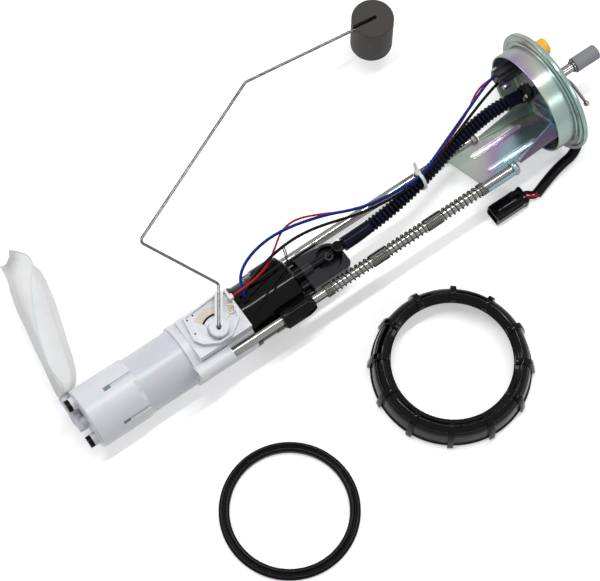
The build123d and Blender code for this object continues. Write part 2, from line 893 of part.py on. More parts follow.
with BuildPart() as pump_isolator:
    add(
        ring_turned(
            pump_low_x + pump_length / 2,
            pump_low_x + pump_length / 2 + isolator_width,
            can_r - can_wall - seat_gap,
            pump_r + seat_gap,
            can_y,
            can_z,
        )
    )
pump_isolator.part.label = "pump_isolator"
export_step(pump_isolator.part, "parts/pump_isolator.step")

# Level sender: frame, resistor card, pad group, screw
frame_outline = (
    (-151.2, 38.4),
    (-154.1, 17.0),
    (-150.0, 10.4),
    (-137.6, 3.5),
    (-126.4, 3.5),
    (-112.6, 13.0),
    (-109.0, 27.2),
    (-109.5, 38.4),
    (-118.8, 40.6),
)
frame_shape = make_face(Polyline(*frame_outline, close=True))
with BuildPart() as sender_frame:
    with BuildSketch(Plane.XY.offset(sender_z)):
        add(frame_shape)
    extrude(amount=frame_height)
    with BuildSketch(Plane.XY.offset(sender_z + frame_floor)):
        add(frame_shape)
        offset(amount=-frame_wall, kind=Kind.INTERSECTION)
    extrude(amount=frame_height, mode=Mode.SUBTRACT)
    with BuildSketch(Plane.XY.offset(sender_z)):
        with Locations((hub_x, hub_y)):
            Circle(hub_stub_r + slide_gap)
    extrude(amount=frame_height, mode=Mode.SUBTRACT)
sender_frame.part.label = "sender_frame"
export_step(sender_frame.part, "parts/sender_frame.step")

card_z = sender_z + frame_floor
with BuildPart() as resistor_card:
    with BuildSketch(Plane.XY.offset(card_z + seat_gap)):
        with Locations((hub_x, hub_y)):
            Circle(card_r)
            Circle(hub_r + 1.5, mode=Mode.SUBTRACT)
            with Locations((0, card_low_y - card_r)):
                Rectangle(3 * card_r, 2 * card_r, mode=Mode.SUBTRACT)
            with Locations((card_high_x + card_r, 0), (-card_high_x - card_r, 0)):
                Rectangle(2 * card_r, 3 * card_r, mode=Mode.SUBTRACT)
    extrude(amount=card_thick)
resistor_card.part.label = "resistor_card"
export_step(resistor_card.part, "parts/resistor_card.step")

with BuildPart() as sender_screw:
    with BuildSketch(Plane.XY.offset(card_z + seat_gap)):
        with Locations((screw_x, screw_y)):
            Circle(screw_r)
    extrude(amount=screw_height)
    with BuildSketch(Plane.XY.offset(card_z + seat_gap + screw_height)):
        with Locations((screw_x, screw_y)):
            Rectangle(1.7 * screw_r, 0.3 * screw_r)
    extrude(amount=-screw_height / 2, mode=Mode.SUBTRACT)
sender_screw.part.label = "sender_screw"
export_step(sender_screw.part, "parts/sender_screw.step")

# Float arm: hub with a wire channel, wire, contact blade, float
hub_low_z = card_z + card_thick + 0.4
hub_top_z = arm_z - arm_wire_r - seat_gap
channel_low_z = sender_z + frame_height + 0.4


def arm_plane(z, direction=(arm_knee_near[0] - hub_x, arm_knee_near[1] - hub_y)):
    """A level sketch plane at the hub with its x along the arm."""
    return Plane(origin=(hub_x, hub_y, z), x_dir=(*direction, 0), z_dir=(0, 0, 1))


with BuildPart() as arm_hub:
    with BuildSketch(arm_plane(hub_low_z)):
        Circle(hub_r)
    extrude(amount=arm_z + arm_wire_r - hub_low_z)
    with BuildSketch(arm_plane(channel_low_z)):
        with Locations((arm_channel_length / 2, 0)):
            Rectangle(arm_channel_length, arm_channel_width)
    extrude(amount=arm_z + arm_wire_r - channel_low_z)
    with BuildSketch(arm_plane(hub_top_z)):
        with Locations((arm_channel_length / 2, 0)):
            Rectangle(arm_channel_length + 2, 2 * (arm_wire_r + seat_gap))
        Circle(2 * arm_wire_r)
    extrude(amount=2 * hub_r, mode=Mode.SUBTRACT)
    with BuildSketch(arm_plane(hub_low_z)):
        Circle(hub_stub_r)
    extrude(amount=sender_z + 0.3 - hub_low_z)
    with BuildSketch(arm_plane(hub_low_z)):
        Circle(arm_wire_r + seat_gap)
    extrude(amount=hub_top_z, mode=Mode.SUBTRACT)
    with BuildSketch(arm_plane(hub_top_z - arm_wire_r)):
        Circle(2 * arm_wire_r)
    extrude(amount=hub_r, mode=Mode.SUBTRACT)
arm_hub.part.label = "arm_hub"
export_step(arm_hub.part, "parts/arm_hub.step")

float_low_z = float_top_z - float_height
arm_points = [
    (hub_x, hub_y, hub_low_z + seat_gap),
    (hub_x, hub_y, arm_z),
    (*arm_knee_near, arm_z),
    (*arm_knee_low, arm_z),
    (*arm_knee_high, arm_z),
    (float_x, float_y, arm_z),
    (float_x, float_y, float_low_z + float_height / 3),
]
with BuildPart() as float_arm:
    with BuildLine() as arm_line:
        FilletPolyline(*arm_points, radius=(1.8, 4.0, 4.0, 4.0, 3.0))
    with BuildSketch(Plane(origin=arm_line.line @ 0, z_dir=arm_line.line % 0)):
        Circle(arm_wire_r)
    sweep(path=arm_line.line)
float_arm.part.label = "float_arm_wire"
export_step(float_arm.part, "parts/float_arm_wire.step")

float_slot_plane = Plane(
    origin=(float_x, float_y, arm_z - arm_wire_r - 0.4),
    x_dir=(float_x - arm_knee_high[0], float_y - arm_knee_high[1], 0),
    z_dir=(0, 0, 1),
)
with BuildPart() as float_body:
    with BuildSketch(Plane.XY.offset(float_low_z)):
        with Locations((float_x, float_y)):
            Circle(float_r)
    extrude(amount=float_height)
    chamfer(float_body.edges().filter_by(GeomType.CIRCLE), 0.8)
    with BuildSketch(float_slot_plane):
        with Locations((-float_r / 2, 0)):
            Rectangle(float_r + 7, float_slot_width)
    extrude(amount=float_height, mode=Mode.SUBTRACT)
    with BuildSketch(Plane.XY.offset(float_low_z + float_height / 3 - 1)):
        with Locations((float_x, float_y)):
            Circle(arm_wire_r + seat_gap)
    extrude(amount=float_height, mode=Mode.SUBTRACT)
    with BuildSketch(float_slot_plane.offset(-3 * arm_wire_r)):
        Circle(float_slot_width / 2)
    extrude(amount=3 * arm_wire_r, mode=Mode.SUBTRACT)
float_body.part.label = "float"
export_step(float_body.part, "parts/float.step")

with BuildPart() as contact_blade:
    with BuildSketch(arm_plane(channel_low_z - seat_gap)):
        with Locations((1.8 * hub_r + hub_r / 2, 0)):
            Rectangle(1.2 * hub_r, 0.4 * hub_r)
    extrude(amount=-blade_thick)
contact_blade.part.label = "contact_blade"
export_step(contact_blade.part, "parts/contact_blade.step")

# Outlet pipe through the flange, with its bead, and the hose from the elbow
pipe_turn_x = seat_x - 4


def on_pipe(distance):
    """A point on the pipe's inner leg, that far before its bend."""
    slope = radians(pipe_slope)
    return (pipe_turn_x - distance * cos(slope), pipe_y + distance * sin(slope), pipe_z)


def pipe_plane(distance):
    """A sketch plane square to the pipe's inner leg, its y upward."""
    slope = radians(pipe_slope)
    return Plane(
        origin=on_pipe(distance), x_dir=(sin(slope), cos(slope), 0), z_dir=(cos(slope), -sin(slope), 0)
    )


with BuildPart() as outlet_pipe:
    with BuildLine() as pipe_line:
        FilletPolyline(
            on_pipe(pipe_inner_length),
            (pipe_turn_x, pipe_y, pipe_z),
            (pipe_top_x, pipe_y, pipe_z),
            radius=3 * pipe_r,
        )
    with BuildSketch(Plane(origin=pipe_line.line @ 0, z_dir=pipe_line.line % 0)):
        Circle(pipe_r)
        Circle(pipe_bore_r, mode=Mode.SUBTRACT)
    sweep(path=pipe_line.line)
    add(
        turned(
            [
                (grey_cap_low_x - bead_width - seat_gap, pipe_r - 0.5),
                (grey_cap_low_x - bead_width - seat_gap, bead_r - 0.8),
                (grey_cap_low_x - bead_width * 0.6, bead_r),
                (grey_cap_low_x - bead_width * 0.4, bead_r),
                (grey_cap_low_x - seat_gap, bead_r - 0.8),
                (grey_cap_low_x - seat_gap, pipe_r - 0.5),
            ],
            pipe_y,
            pipe_z,
        )
    )
outlet_pipe.part.label = "outlet_pipe"
export_step(outlet_pipe.part, "parts/outlet_pipe.step")

grey_cap_top_x = grey_cap_low_x + grey_cap_length
with BuildPart() as outlet_cap:
    add(
        turned(
            [
                (grey_cap_low_x, pipe_r + slide_gap),
                (grey_cap_low_x, grey_cap_r),
                (grey_cap_top_x - 0.8, grey_cap_r),
                (grey_cap_top_x, grey_cap_r - 0.8),
                (grey_cap_top_x, 0),
                (pipe_top_x + 0.5, 0),
                (pipe_top_x + 0.5, pipe_r + slide_gap),
            ],
            pipe_y,
            pipe_z,
        )
    )
outlet_cap.part.label = "outlet_cap"
export_step(outlet_cap.part, "parts/outlet_cap.step")

hose_low_x = elbow_x + elbow_r + soft_gap
hose_end = 2.5
hose_points = [
    (hose_low_x, elbow_y, elbow_z),
    (26.0, elbow_y, elbow_z),
    (76.0, 27.2, 52.0),
    (126.8, 41.0, 54.5),
    on_pipe(hose_end + 25),
    on_pipe(hose_end),
]
with BuildPart() as fuel_hose:
    add(tube(hose_points, hose_r, hose_bore_r, "hose"))
    with BuildSketch(across(hose_low_x, elbow_y, elbow_z)):
        Circle(cuff_r)
        Circle((hose_r + hose_bore_r) / 2, mode=Mode.SUBTRACT)
    extrude(amount=cuff_low_length)
    with BuildSketch(pipe_plane(hose_end + cuff_top_length)):
        Circle(cuff_r)
        Circle((hose_r + hose_bore_r) / 2, mode=Mode.SUBTRACT)
    extrude(amount=cuff_top_length)
fuel_hose.part.label = "fuel_hose"
export_step(fuel_hose.part, "parts/fuel_hose.step")

# Hose clamp round the upper cuff: band with its screw housing, then the screw
band_r = cuff_r + seat_gap
screw_height_z = band_r + clamp_band_thick + clamp_screw_r
clamp_plane = pipe_plane(clamp_place - clamp_band_width / 2)
with BuildPart() as clamp_band:
    with BuildSketch(pipe_plane(clamp_place)):
        Circle(band_r + clamp_band_thick)
        with Locations((0, screw_height_z)):
            Rectangle(clamp_housing, 2 * clamp_screw_r + 1.6)
        Circle(band_r, mode=Mode.SUBTRACT)
    extrude(amount=clamp_band_width)
    with BuildSketch(
        Plane(
            origin=clamp_plane.from_local_coords(Vector(-clamp_housing, screw_height_z)),
            z_dir=clamp_plane.x_dir,
        )
    ):
        Circle(clamp_screw_r + seat_gap)
    extrude(amount=2 * clamp_housing, mode=Mode.SUBTRACT)
clamp_band.part.label = "clamp_band"
export_step(clamp_band.part, "parts/clamp_band.step")

with BuildPart() as clamp_screw:
    with BuildSketch(
        Plane(
            origin=clamp_plane.from_local_coords(
                Vector(-clamp_housing / 2 - seat_gap, screw_height_z)
            ),
            z_dir=clamp_plane.x_dir,
        )
    ):
        Circle(clamp_screw_r)
    extrude(amount=clamp_housing + 2)
    with BuildSketch(
        Plane(
            origin=clamp_plane.from_local_coords(
                Vector(-clamp_housing / 2 - seat_gap, screw_height_z)
            ),
            z_dir=-clamp_plane.x_dir,
        )
    ):
        RegularPolygon(clamp_head_r, 6)
    extrude(amount=clamp_head_length)
clamp_screw.part.label = "clamp_screw"
export_step(clamp_screw.part, "parts/clamp_screw.step")

# Fittings on the flange: valve stub, yellow cap, vent tube, bulkhead connector
stub_low_x = seat_x + flange_sheet + seat_gap
stub_top_x = seat_x + flange_sheet + stub_length
with BuildPart() as valve_stub:
    add(ring_turned(seat_x - 4, stub_top_x, stub_r, stub_r - 1.2, stub_y, stub_z))
    add(
        ring_turned(
            stub_low_x, stub_low_x + stub_collar_length, stub_collar_r, stub_r - 0.5, stub_y, stub_z
        )
    )
valve_stub.part.label = "valve_stub"
export_step(valve_stub.part, "parts/valve_stub.step")

yellow_low_x = stub_low_x + stub_collar_length + seat_gap
with BuildPart() as valve_cap:
    add(
        turned(
            [
                (yellow_low_x, stub_r + slide_gap),
                (yellow_low_x, yellow_cap_r),
                (yellow_low_x + yellow_cap_length - 1, yellow_cap_r),
                (yellow_low_x + yellow_cap_length, yellow_cap_r - 1),
                (yellow_low_x + yellow_cap_length, 0),
                (stub_top_x + soft_gap, 0),
                (stub_top_x + soft_gap, stub_r + slide_gap),
            ],
            stub_y,
            stub_z,
        )
    )
valve_cap.part.label = "valve_cap"
export_step(valve_cap.part, "parts/valve_cap.step")

vent_points = [
    (seat_x - 3, vent_y, vent_z),
    (seat_x + flange_sheet + vent_reach, vent_y, vent_z),
    (seat_x + flange_sheet + vent_reach - 2, vent_y - vent_drop, vent_z),
]
with BuildPart() as vent_tube:
    with BuildLine() as vent_line:
        FilletPolyline(*vent_points, radius=vent_bend_r)
    with BuildSketch(Plane(origin=vent_line.line @ 0, z_dir=vent_line.line % 0)):
        Circle(vent_r)
    sweep(path=vent_line.line)
    with Locations(vent_points[-1]):
        Sphere(vent_tip_r)
vent_tube.part.label = "vent_tube"
export_step(vent_tube.part, "parts/vent_tube.step")

plug_y = (plug_low_y + plug_high_y) / 2
plug_z = (plug_low_z + plug_high_z) / 2
plug_width = plug_high_y - plug_low_y
plug_height = plug_high_z - plug_low_z
with BuildPart() as lead_connector:
    with BuildSketch(across(plug_low_x, plug_y, plug_z)):
        RectangleRounded(plug_width, plug_height, 1.5)
    extrude(amount=seat_x - seat_gap - plug_low_x)
    with BuildSketch(Plane.XY.offset(plug_high_z)):
        with Locations((plug_low_x + 11, plug_y)):
            Rectangle(14, 5)
    extrude(amount=1.6)
    with BuildSketch(across(plug_low_x, plug_y, plug_z)):
        with GridLocations(plug_pitch, plug_pitch, 2, 2):
            Circle(blue_r + soft_gap)
    extrude(amount=plug_hole_depth, mode=Mode.SUBTRACT)
lead_connector.part.label = "lead_connector"
export_step(lead_connector.part, "parts/lead_connector.step")

with BuildPart() as bulkhead:
    with BuildSketch(across(seat_x, plug_y, plug_z)):
        RectangleRounded(plug_width - 2.2, plug_height - 2.2, 1.0)
    extrude(amount=flange_sheet)
    with BuildSketch(across(seat_x + flange_sheet, plug_y, plug_z)):
        RectangleRounded(plug_width, plug_height, 1.5)
    extrude(amount=bulkhead_top_x - seat_x - flange_sheet)
bulkhead.part.label = "bulkhead_connector"
export_step(bulkhead.part, "parts/bulkhead_connector.step")

# Spring: close-wound stretches as tubes, open stretches as helices between them
spring_top_x = bracket_low_x - seat_gap
spring_wire = 2 * spring_wire_r
closed_length = sum(spring_closed) * spring_wire
open_length = (spring_top_x - spring_low_x - closed_length) / (len(spring_closed) - 1)
with BuildPart() as spring:
    x = spring_low_x
    for index, coils in enumerate(spring_closed):
        add(
            ring_turned(
                x,
                x + coils * spring_wire,
                spring_mean_r + spring_wire_r,
                spring_mean_r - spring_wire_r,
                *near_rod,
            )
        )
        x += coils * spring_wire
        if index < len(spring_closed) - 1:
            with BuildLine() as coil:
                Helix(
                    pitch=open_length / spring_open,
                    height=open_length,
                    radius=spring_mean_r,
                    center=(x, *near_rod),
                    direction=(1, 0, 0),
                )
            with BuildSketch(Plane(origin=coil.line @ 0, z_dir=coil.line % 0)):
                RegularPolygon(spring_wire_r, 5)
            sweep(path=coil.line, is_frenet=True)
            x += open_length
spring.part.label = "spring"
export_step(spring.part, "parts/spring.step")

# Wires: each from its hole in the lead connector, through the tie, to its terminal
plug_top = (plug_low_x + plug_hole_depth - soft_gap, plug_y + plug_pitch / 2, plug_z + plug_pitch / 2)
blue_points = [
    plug_top,
    (plug_low_x - 4, *plug_top[1:]),
    (145.6, 54.0, 66.5),
    (103.8, 38.0, 66.0),
    (tie_x, tie_y - 0.4, 61.8),
    (45.0, 29.7, 62.0),
    (19.9, 34.0, 61.5),
    (-8.3, 47.4, 60.0),
    (-44.6, 56.6, 59.0),
    (-73.4, 54.2, 58.5),
    (-93.5, 43.3, 58.5),
    (block_low_x + block_size / 2, block_y, 60.5),
    (block_low_x + block_size / 2, block_y, 53.6),
]
red_points = [
    (plug_top[0], plug_top[1], plug_top[2] - plug_pitch),
    (plug_low_x - 4, plug_top[1], plug_top[2] - plug_pitch),
    (124.5, 47.8, 63.0),
    (tie_x, tie_y + 1.0, 59.0),
    (42.0, 29.9, 58.8),
    (17.5, 35.6, 58.0),
    (-12.8, 53.2, 56.0),
    (-29.1, 59.1, 55.0),
    (-42.6, 56.9, 54.5),
    (-56.8, 46.2, 54.5),
    (-70.1, 36.8, 56.5),
    (-88.9, 31.4, 62.5),
    (-101.0, 30.2, 64.0),
    (terminal_x + 0.4 * terminal_width, terminal_y, 64.0),
]
black_points = [
    (plug_top[0], plug_top[1] - plug_pitch, plug_top[2] - plug_pitch),
    (plug_low_x - 4, plug_top[1] - plug_pitch, plug_top[2] - plug_pitch),
    (124.5, 45.2, 61.2),
    (tie_x, tie_y - 1.7, 59.3),
    (44.6, 27.3, 58.6),
    (18.3, 31.6, 57.0),
    (-14.0, 41.8, 57.0),
    (-35.9, 44.6, 58.2),
    (-57.4, 43.1, 58.8),
    (-75.3, 39.2, 57.0),
    (-87.0, 35.6, 55.0),
    (-90.0, 34.6, 51.6),
]
with BuildPart() as wire_blue:
    add(tube(blue_points, blue_r, name="blue wire"))
wire_blue.part.label = "wire_blue"
export_step(wire_blue.part, "parts/wire_blue.step")
with BuildPart() as wire_red:
    add(tube(red_points, red_r, name="red wire"))
wire_red.part.label = "wire_red"
export_step(wire_red.part, "parts/wire_red.step")
with BuildPart() as wire_black:
    add(tube(black_points, black_r, name="black wire"))
wire_black.part.label = "wire_black"
export_step(wire_black.part, "parts/wire_black.step")

# Cable tie round the hose and the wires, with its lock and tail
with BuildPart() as cable_tie:
    with BuildSketch(across(tie_x - tie_band / 2, tie_y, tie_z)):
        Ellipse(tie_half_width + tie_thick, tie_half_height + tie_thick)
        Ellipse(tie_half_width, tie_half_height, mode=Mode.SUBTRACT)
    extrude(amount=tie_band)
    lock_y = tie_y + tie_half_width * 0.7
    lock_z = tie_z + tie_half_height * 0.7 + 2
    with BuildSketch(across(tie_x - tie_band * 0.8, lock_y, lock_z, 40)):
        Rectangle(4, 3)
    extrude(amount=tie_band * 1.6)
    with BuildSketch(across(tie_x - tie_band / 2, lock_y + 3, lock_z + 4, 60)):
        Rectangle(9, tie_thick)
    extrude(amount=tie_band)
cable_tie.part.label = "cable_tie"
export_step(cable_tie.part, "parts/cable_tie.step")

# Where the wires end: the sender's terminal and the pump's block on the filter housing
with BuildPart() as sender_terminal:
    with BuildSketch(Plane.XY.offset(channel_low_z - seat_gap)):
        with Locations((terminal_x, terminal_y)):
            Rectangle(terminal_width, terminal_width)
    extrude(amount=4.4)
    with BuildSketch(across(terminal_x, terminal_y, 64.0)):
        Circle(red_r + slide_gap)
    extrude(amount=terminal_width, mode=Mode.SUBTRACT)
sender_terminal.part.label = "sender_terminal"
export_step(sender_terminal.part, "parts/sender_terminal.step")

with BuildPart() as pump_terminal:
    with BuildSketch(across(block_low_x, block_y, block_z)):
        Rectangle(block_size, block_size)
    extrude(amount=block_size)
    with BuildSketch(across(block_low_x, can_y, can_z)):
        Circle(filter_r + seat_gap)
    extrude(amount=block_size, mode=Mode.SUBTRACT)
    with BuildSketch(Plane.XY.offset(blue_points[-1][2] - soft_gap)):
        with Locations(blue_points[-1][:2]):
            Circle(blue_r + soft_gap)
    extrude(amount=block_size, mode=Mode.SUBTRACT)
pump_terminal.part.label = "pump_terminal"
export_step(pump_terminal.part, "parts/pump_terminal.step")

# Pigtail: gland, sheath, bare leads, plug
gland_middle = Vector(seat_x + flange_sheet + gland_height * 0.6, gland_y, gland_z)
gland_spout = Vector(0.31, -0.69, -0.66).normalized()
with BuildPart() as pigtail_gland:
    with BuildSketch(across(seat_x + flange_sheet + seat_gap, gland_y, gland_z)):
        Circle(gland_r)
    extrude(amount=gland_height)
    fillet(pigtail_gland.faces().sort_by(Axis.X)[-1].edges(), 2)
    with BuildSketch(Plane(origin=gland_middle, z_dir=gland_spout)):
        Circle(sheath_r + 0.8)
    extrude(amount=gland_r + 1)
    with BuildSketch(across(seat_x, gland_y, gland_z)):
        Circle(gland_r + 2)
    extrude(amount=flange_sheet + seat_gap, mode=Mode.SUBTRACT)
pigtail_gland.part.label = "pigtail_gland"
export_step(pigtail_gland.part, "parts/pigtail_gland.step")

sheath_points = [
    gland_middle + gland_spout * (gland_r + 1 + soft_gap),
    (gland_middle.X + 7.8, 7.7, 24.0),
    (gland_middle.X + 4.8, -3.9, 13.9),
    (210.9, -14.1, 7.4),
    (199.8, -19.2, 4.8),
    (182.5, -20.6, 4.8),
    (165.5, -22.0, 4.8),
]
with BuildPart() as pigtail_sheath:
    add(tube(sheath_points, sheath_r, name="pigtail sheath"))
pigtail_sheath.part.label = "pigtail_sheath"
export_step(pigtail_sheath.part, "parts/pigtail_sheath.step")

plug_back_x = pigtail_plug_low_x + pigtail_plug_length
plug_middle_z = pigtail_plug_height / 2
with BuildPart() as pigtail_plug:
    with BuildSketch(across(pigtail_plug_low_x, pigtail_plug_y, plug_middle_z)):
        RectangleRounded(pigtail_plug_width, pigtail_plug_height, 1.5)
    extrude(amount=pigtail_plug_length)
    with BuildSketch(across(pigtail_plug_low_x, pigtail_plug_y, plug_middle_z)):
        Rectangle(
            pigtail_plug_width - 2 * pigtail_plug_wall, pigtail_plug_height - 2 * pigtail_plug_wall
        )
    extrude(amount=pigtail_plug_length / 2, mode=Mode.SUBTRACT)
pigtail_plug.part.label = "pigtail_plug"
export_step(pigtail_plug.part, "parts/pigtail_plug.step")

with BuildPart() as pigtail_leads:
    for index in range(4):
        side = (index % 2 - 0.5) * 2
        level = (index // 2 - 0.5) * 2
        with BuildLine() as lead:
            Spline(
                (164.5, -22.0 + 1.6 * side, 4.8 + 1.6 * level),
                (
                    plug_back_x + soft_gap,
                    pigtail_plug_y + 2.6 * side,
                    plug_middle_z + 2.2 * level,
                ),
                tangents=[(-1, 0.2, 0), (-1, 0, 0)],
            )
        with BuildSketch(Plane(origin=lead.line @ 0, z_dir=lead.line % 0)):
            Circle(red_r)
        sweep(path=lead.line)
pigtail_leads.part.label = "pigtail_leads"
export_step(pigtail_leads.part, "parts/pigtail_leads.step")

# Lock ring: threaded collar with a holding lip and ribs
with BuildPart() as lock_ring:
    with BuildSketch(Plane(origin=(ring_x, ring_y, 0), x_dir=(1, 0, 0), z_dir=(0, -1, 0))):
        with BuildLine():
            Polyline(
                (ring_thread_r, 0),
                (ring_body_r, 0),
                (ring_body_r, ring_height * 0.45),
                (ring_shoulder_r, ring_height * 0.6),
                (ring_shoulder_r - 2, ring_height - 1.5),
                (ring_shoulder_r - 3.5, ring_height),
                (ring_bore_r, ring_height),
                (ring_bore_r, ring_height - ring_lip),
                (ring_thread_r, ring_height - ring_lip - 2),
                close=True,
            )
        make_face()
    revolve(axis=Axis((ring_x, ring_y, 0), (0, 0, 1)))
    with BuildSketch(Plane.XY):
        with Locations((ring_x, ring_y)):
            with PolarLocations((ring_rib_r + ring_shoulder_r - 6) / 2, ring_rib_count):
                Rectangle(ring_rib_r - ring_shoulder_r + 6, ring_rib_width)
    extrude(amount=ring_height + 1.2)
    with BuildSketch(Plane.XY):
        with Locations((ring_x, ring_y)):
            Circle(ring_thread_r)
    extrude(amount=ring_height - ring_lip - 2, mode=Mode.SUBTRACT)
lock_ring.part.label = "lock_ring"
export_step(lock_ring.part, "parts/lock_ring.step")

with BuildPart() as gasket:
    gasket_middle_r = (gasket_r + gasket_bore_r) / 2
    with BuildSketch(Plane(origin=(gasket_x, gasket_y, 0), x_dir=(1, 0, 0), z_dir=(0, -1, 0))):
        with BuildLine():
            Polyline(
                (gasket_bore_r, 0),
                (gasket_r, 0),
                (gasket_r, gasket_height * 0.4),
                (gasket_r - 1.6, gasket_height * 0.55),
                (gasket_r - 2.2, gasket_height),
                (gasket_middle_r + 1.2, gasket_height),
                (gasket_middle_r + 0.5, gasket_height - 0.8),
                (gasket_middle_r - 0.5, gasket_height - 0.8),
                (gasket_middle_r - 1.2, gasket_height),
                (gasket_bore_r, gasket_height),
                close=True,
            )
        make_face()
    revolve(axis=Axis((gasket_x, gasket_y, 0), (0, 0, 1)))
gasket.part.label = "gasket"
export_step(gasket.part, "parts/gasket.step")
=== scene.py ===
"""Fuel pump module: looks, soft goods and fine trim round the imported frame."""

import json
import math

import bmesh
import bpy
import numpy as np
from mathutils import Matrix, Vector, noise


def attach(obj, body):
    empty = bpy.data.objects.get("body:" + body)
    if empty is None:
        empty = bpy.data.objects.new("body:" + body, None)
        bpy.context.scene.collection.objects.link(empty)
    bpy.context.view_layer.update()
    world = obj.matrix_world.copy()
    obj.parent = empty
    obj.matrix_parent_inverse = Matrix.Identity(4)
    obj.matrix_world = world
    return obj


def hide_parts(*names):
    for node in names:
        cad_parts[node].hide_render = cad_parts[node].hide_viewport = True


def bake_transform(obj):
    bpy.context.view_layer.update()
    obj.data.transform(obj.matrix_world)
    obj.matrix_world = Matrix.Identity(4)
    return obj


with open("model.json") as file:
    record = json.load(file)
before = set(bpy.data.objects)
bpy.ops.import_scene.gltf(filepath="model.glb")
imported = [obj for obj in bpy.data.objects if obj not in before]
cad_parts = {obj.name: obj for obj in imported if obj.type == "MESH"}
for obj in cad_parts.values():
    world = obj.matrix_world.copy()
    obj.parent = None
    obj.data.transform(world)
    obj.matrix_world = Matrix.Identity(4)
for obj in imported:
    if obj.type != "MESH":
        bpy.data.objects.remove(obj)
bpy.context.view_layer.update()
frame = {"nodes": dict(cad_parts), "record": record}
nodes = frame["nodes"]

# Sizes and places are in millimetres, as in part.py, and MM turns them into metres
MM = 0.001

# The canister's axis runs along x through this place
CAN_Y, CAN_Z = 21.5, 27.6

# Both guide rods lie in a plane through the canister's axis, tilted by this angle
TILT = math.radians(36)
HALF_SPACING = 32.5
NEAR_ROD = (CAN_Y - HALF_SPACING * math.cos(TILT), CAN_Z + HALF_SPACING * math.sin(TILT))
FAR_ROD = (2 * CAN_Y - NEAR_ROD[0], 2 * CAN_Z - NEAR_ROD[1])

# Centres of the turned pieces: y and z of the flange, x and y of those with an upright axis
FLANGE_CENTRE = (34.0, 55.0)
RING_CENTRE = (15.0, -104.2)
GASKET_CENTRE = (-162.4, -127.3)
HUB_CENTRE = (-132.3, 13.7)


def camera():
    """The camera at the photograph's place."""
    place = (-0.4043, -0.4874, 1.6506)
    data = bpy.data.cameras.new("camera")
    data.lens = 127.1
    data.sensor_width = 36
    obj = bpy.data.objects.new("camera", data)
    bpy.context.scene.collection.objects.link(obj)
    look = Vector((0.2023, 0.2891, -0.9357)).normalized()
    right = Vector((0.8194, -0.5733, 0)).normalized()
    up = right.cross(look)
    turn = Matrix((right, up, -look)).transposed()
    obj.matrix_world = Matrix.Translation(place) @ turn.to_4x4()
    bpy.context.scene.camera = obj


camera()


# Materials: extra inputs of the shader, the deepest black, and the stretch of drawn wire's grain
WHITE = {"Subsurface Weight": 0.12, "Subsurface Scale": 0.003}
MILKY = {"Subsurface Weight": 0.3, "Subsurface Scale": 0.006}
# This Specular Tint darkens the grazing reflection of steel: painted shade on the edges of rods,
# spring and wires
PAINTED_EDGE_SHADE = {"Specular Tint": (0.12, 0.12, 0.13, 1)}
DEEP = {"Specular IOR Level": 0.08}
GLOSS = {"Specular IOR Level": 0.13}
BLACK = (0.0010, 0.0010, 0.0014)
DRAWN = (1, 14, 14)
finishes = {}


def node(tree, kind, **values):
    """A shader node; each value goes to the input or the setting of its name."""
    made = tree.nodes.new(kind)
    for key, value in values.items():
        if key in made.inputs:
            made.inputs[key].default_value = value
        else:
            setattr(made, key, value)
    return made


def shader(name):
    made = bpy.data.materials.new(name)
    made.use_nodes = True
    finishes[name] = made
    return made.node_tree, made.node_tree.nodes["Principled BSDF"]


def ramp(tree, source, stops):
    made = node(tree, "ShaderNodeValToRGB")
    elements = made.color_ramp.elements
    while len(elements) < len(stops):
        elements.new(0.5)
    for element, (place, colour) in zip(elements, stops):
        element.position = place
        element.color = (*colour, 1)
    tree.links.new(source, made.inputs["Fac"])
    return made.outputs["Color"]


def remap(tree, source, low, high, start=0.3, end=0.7):
    made = node(tree, "ShaderNodeMapRange")
    made.inputs["From Min"].default_value = start
    made.inputs["From Max"].default_value = end
    made.inputs["To Min"].default_value = low
    made.inputs["To Max"].default_value = high
    tree.links.new(source, made.inputs["Value"])
    return made.outputs["Result"]


def clouds(tree, scale, detail=3.0, stretch=(1, 1, 1), distortion=0.0):
    """A noise pattern in the part's own metres."""
    place = node(tree, "ShaderNodeTexCoord")
    mapping = node(tree, "ShaderNodeMapping", Scale=stretch)
    tree.links.new(place.outputs["Object"], mapping.inputs["Vector"])
    made = node(tree, "ShaderNodeTexNoise", Scale=scale, Detail=detail, Distortion=distortion)
    tree.links.new(mapping.outputs["Vector"], made.inputs["Vector"])
    return made.outputs["Fac"]


def bands(tree, scale, direction):
    place = node(tree, "ShaderNodeTexCoord")
    made = node(tree, "ShaderNodeTexWave", Scale=scale, bands_direction=direction)
    tree.links.new(place.outputs["Object"], made.inputs["Vector"])
    return made.outputs["Fac"]


def bumped(tree, bsdf, height, strength, depth):
    made = node(tree, "ShaderNodeBump", Strength=strength, Distance=depth)
    tree.links.new(height, made.inputs["Height"])
    tree.links.new(made.outputs["Normal"], bsdf.inputs["Normal"])


def finish(
    name,
    colour,
    rough,
    *,
    metal=0.0,
    vary=0.06,
    patch=35.0,
    grain=1200.0,
    bump=0.08,
    depth=0.0001,
    stretch=(1, 1, 1),
    extra=None,
):
    """A plain material: patchy colour, uneven gloss and a fine grain."""
    tree, bsdf = shader(name)
    low = tuple(c * (1 - vary) for c in colour)
    high = tuple(min(c * (1 + vary), 1) for c in colour)
    patches = clouds(tree, patch, 4.0, stretch)
    tree.links.new(ramp(tree, patches, [(0.3, low), (0.7, high)]), bsdf.inputs["Base Color"])
    fine = clouds(tree, grain, 3.0, stretch)
    tree.links.new(remap(tree, fine, rough * 0.8, rough * 1.2), bsdf.inputs["Roughness"])
    bumped(tree, bsdf, fine, bump, depth)
    bsdf.inputs["Metallic"].default_value = metal
    for key, value in (extra or {}).items():
        bsdf.inputs[key].default_value = value
    return tree, bsdf


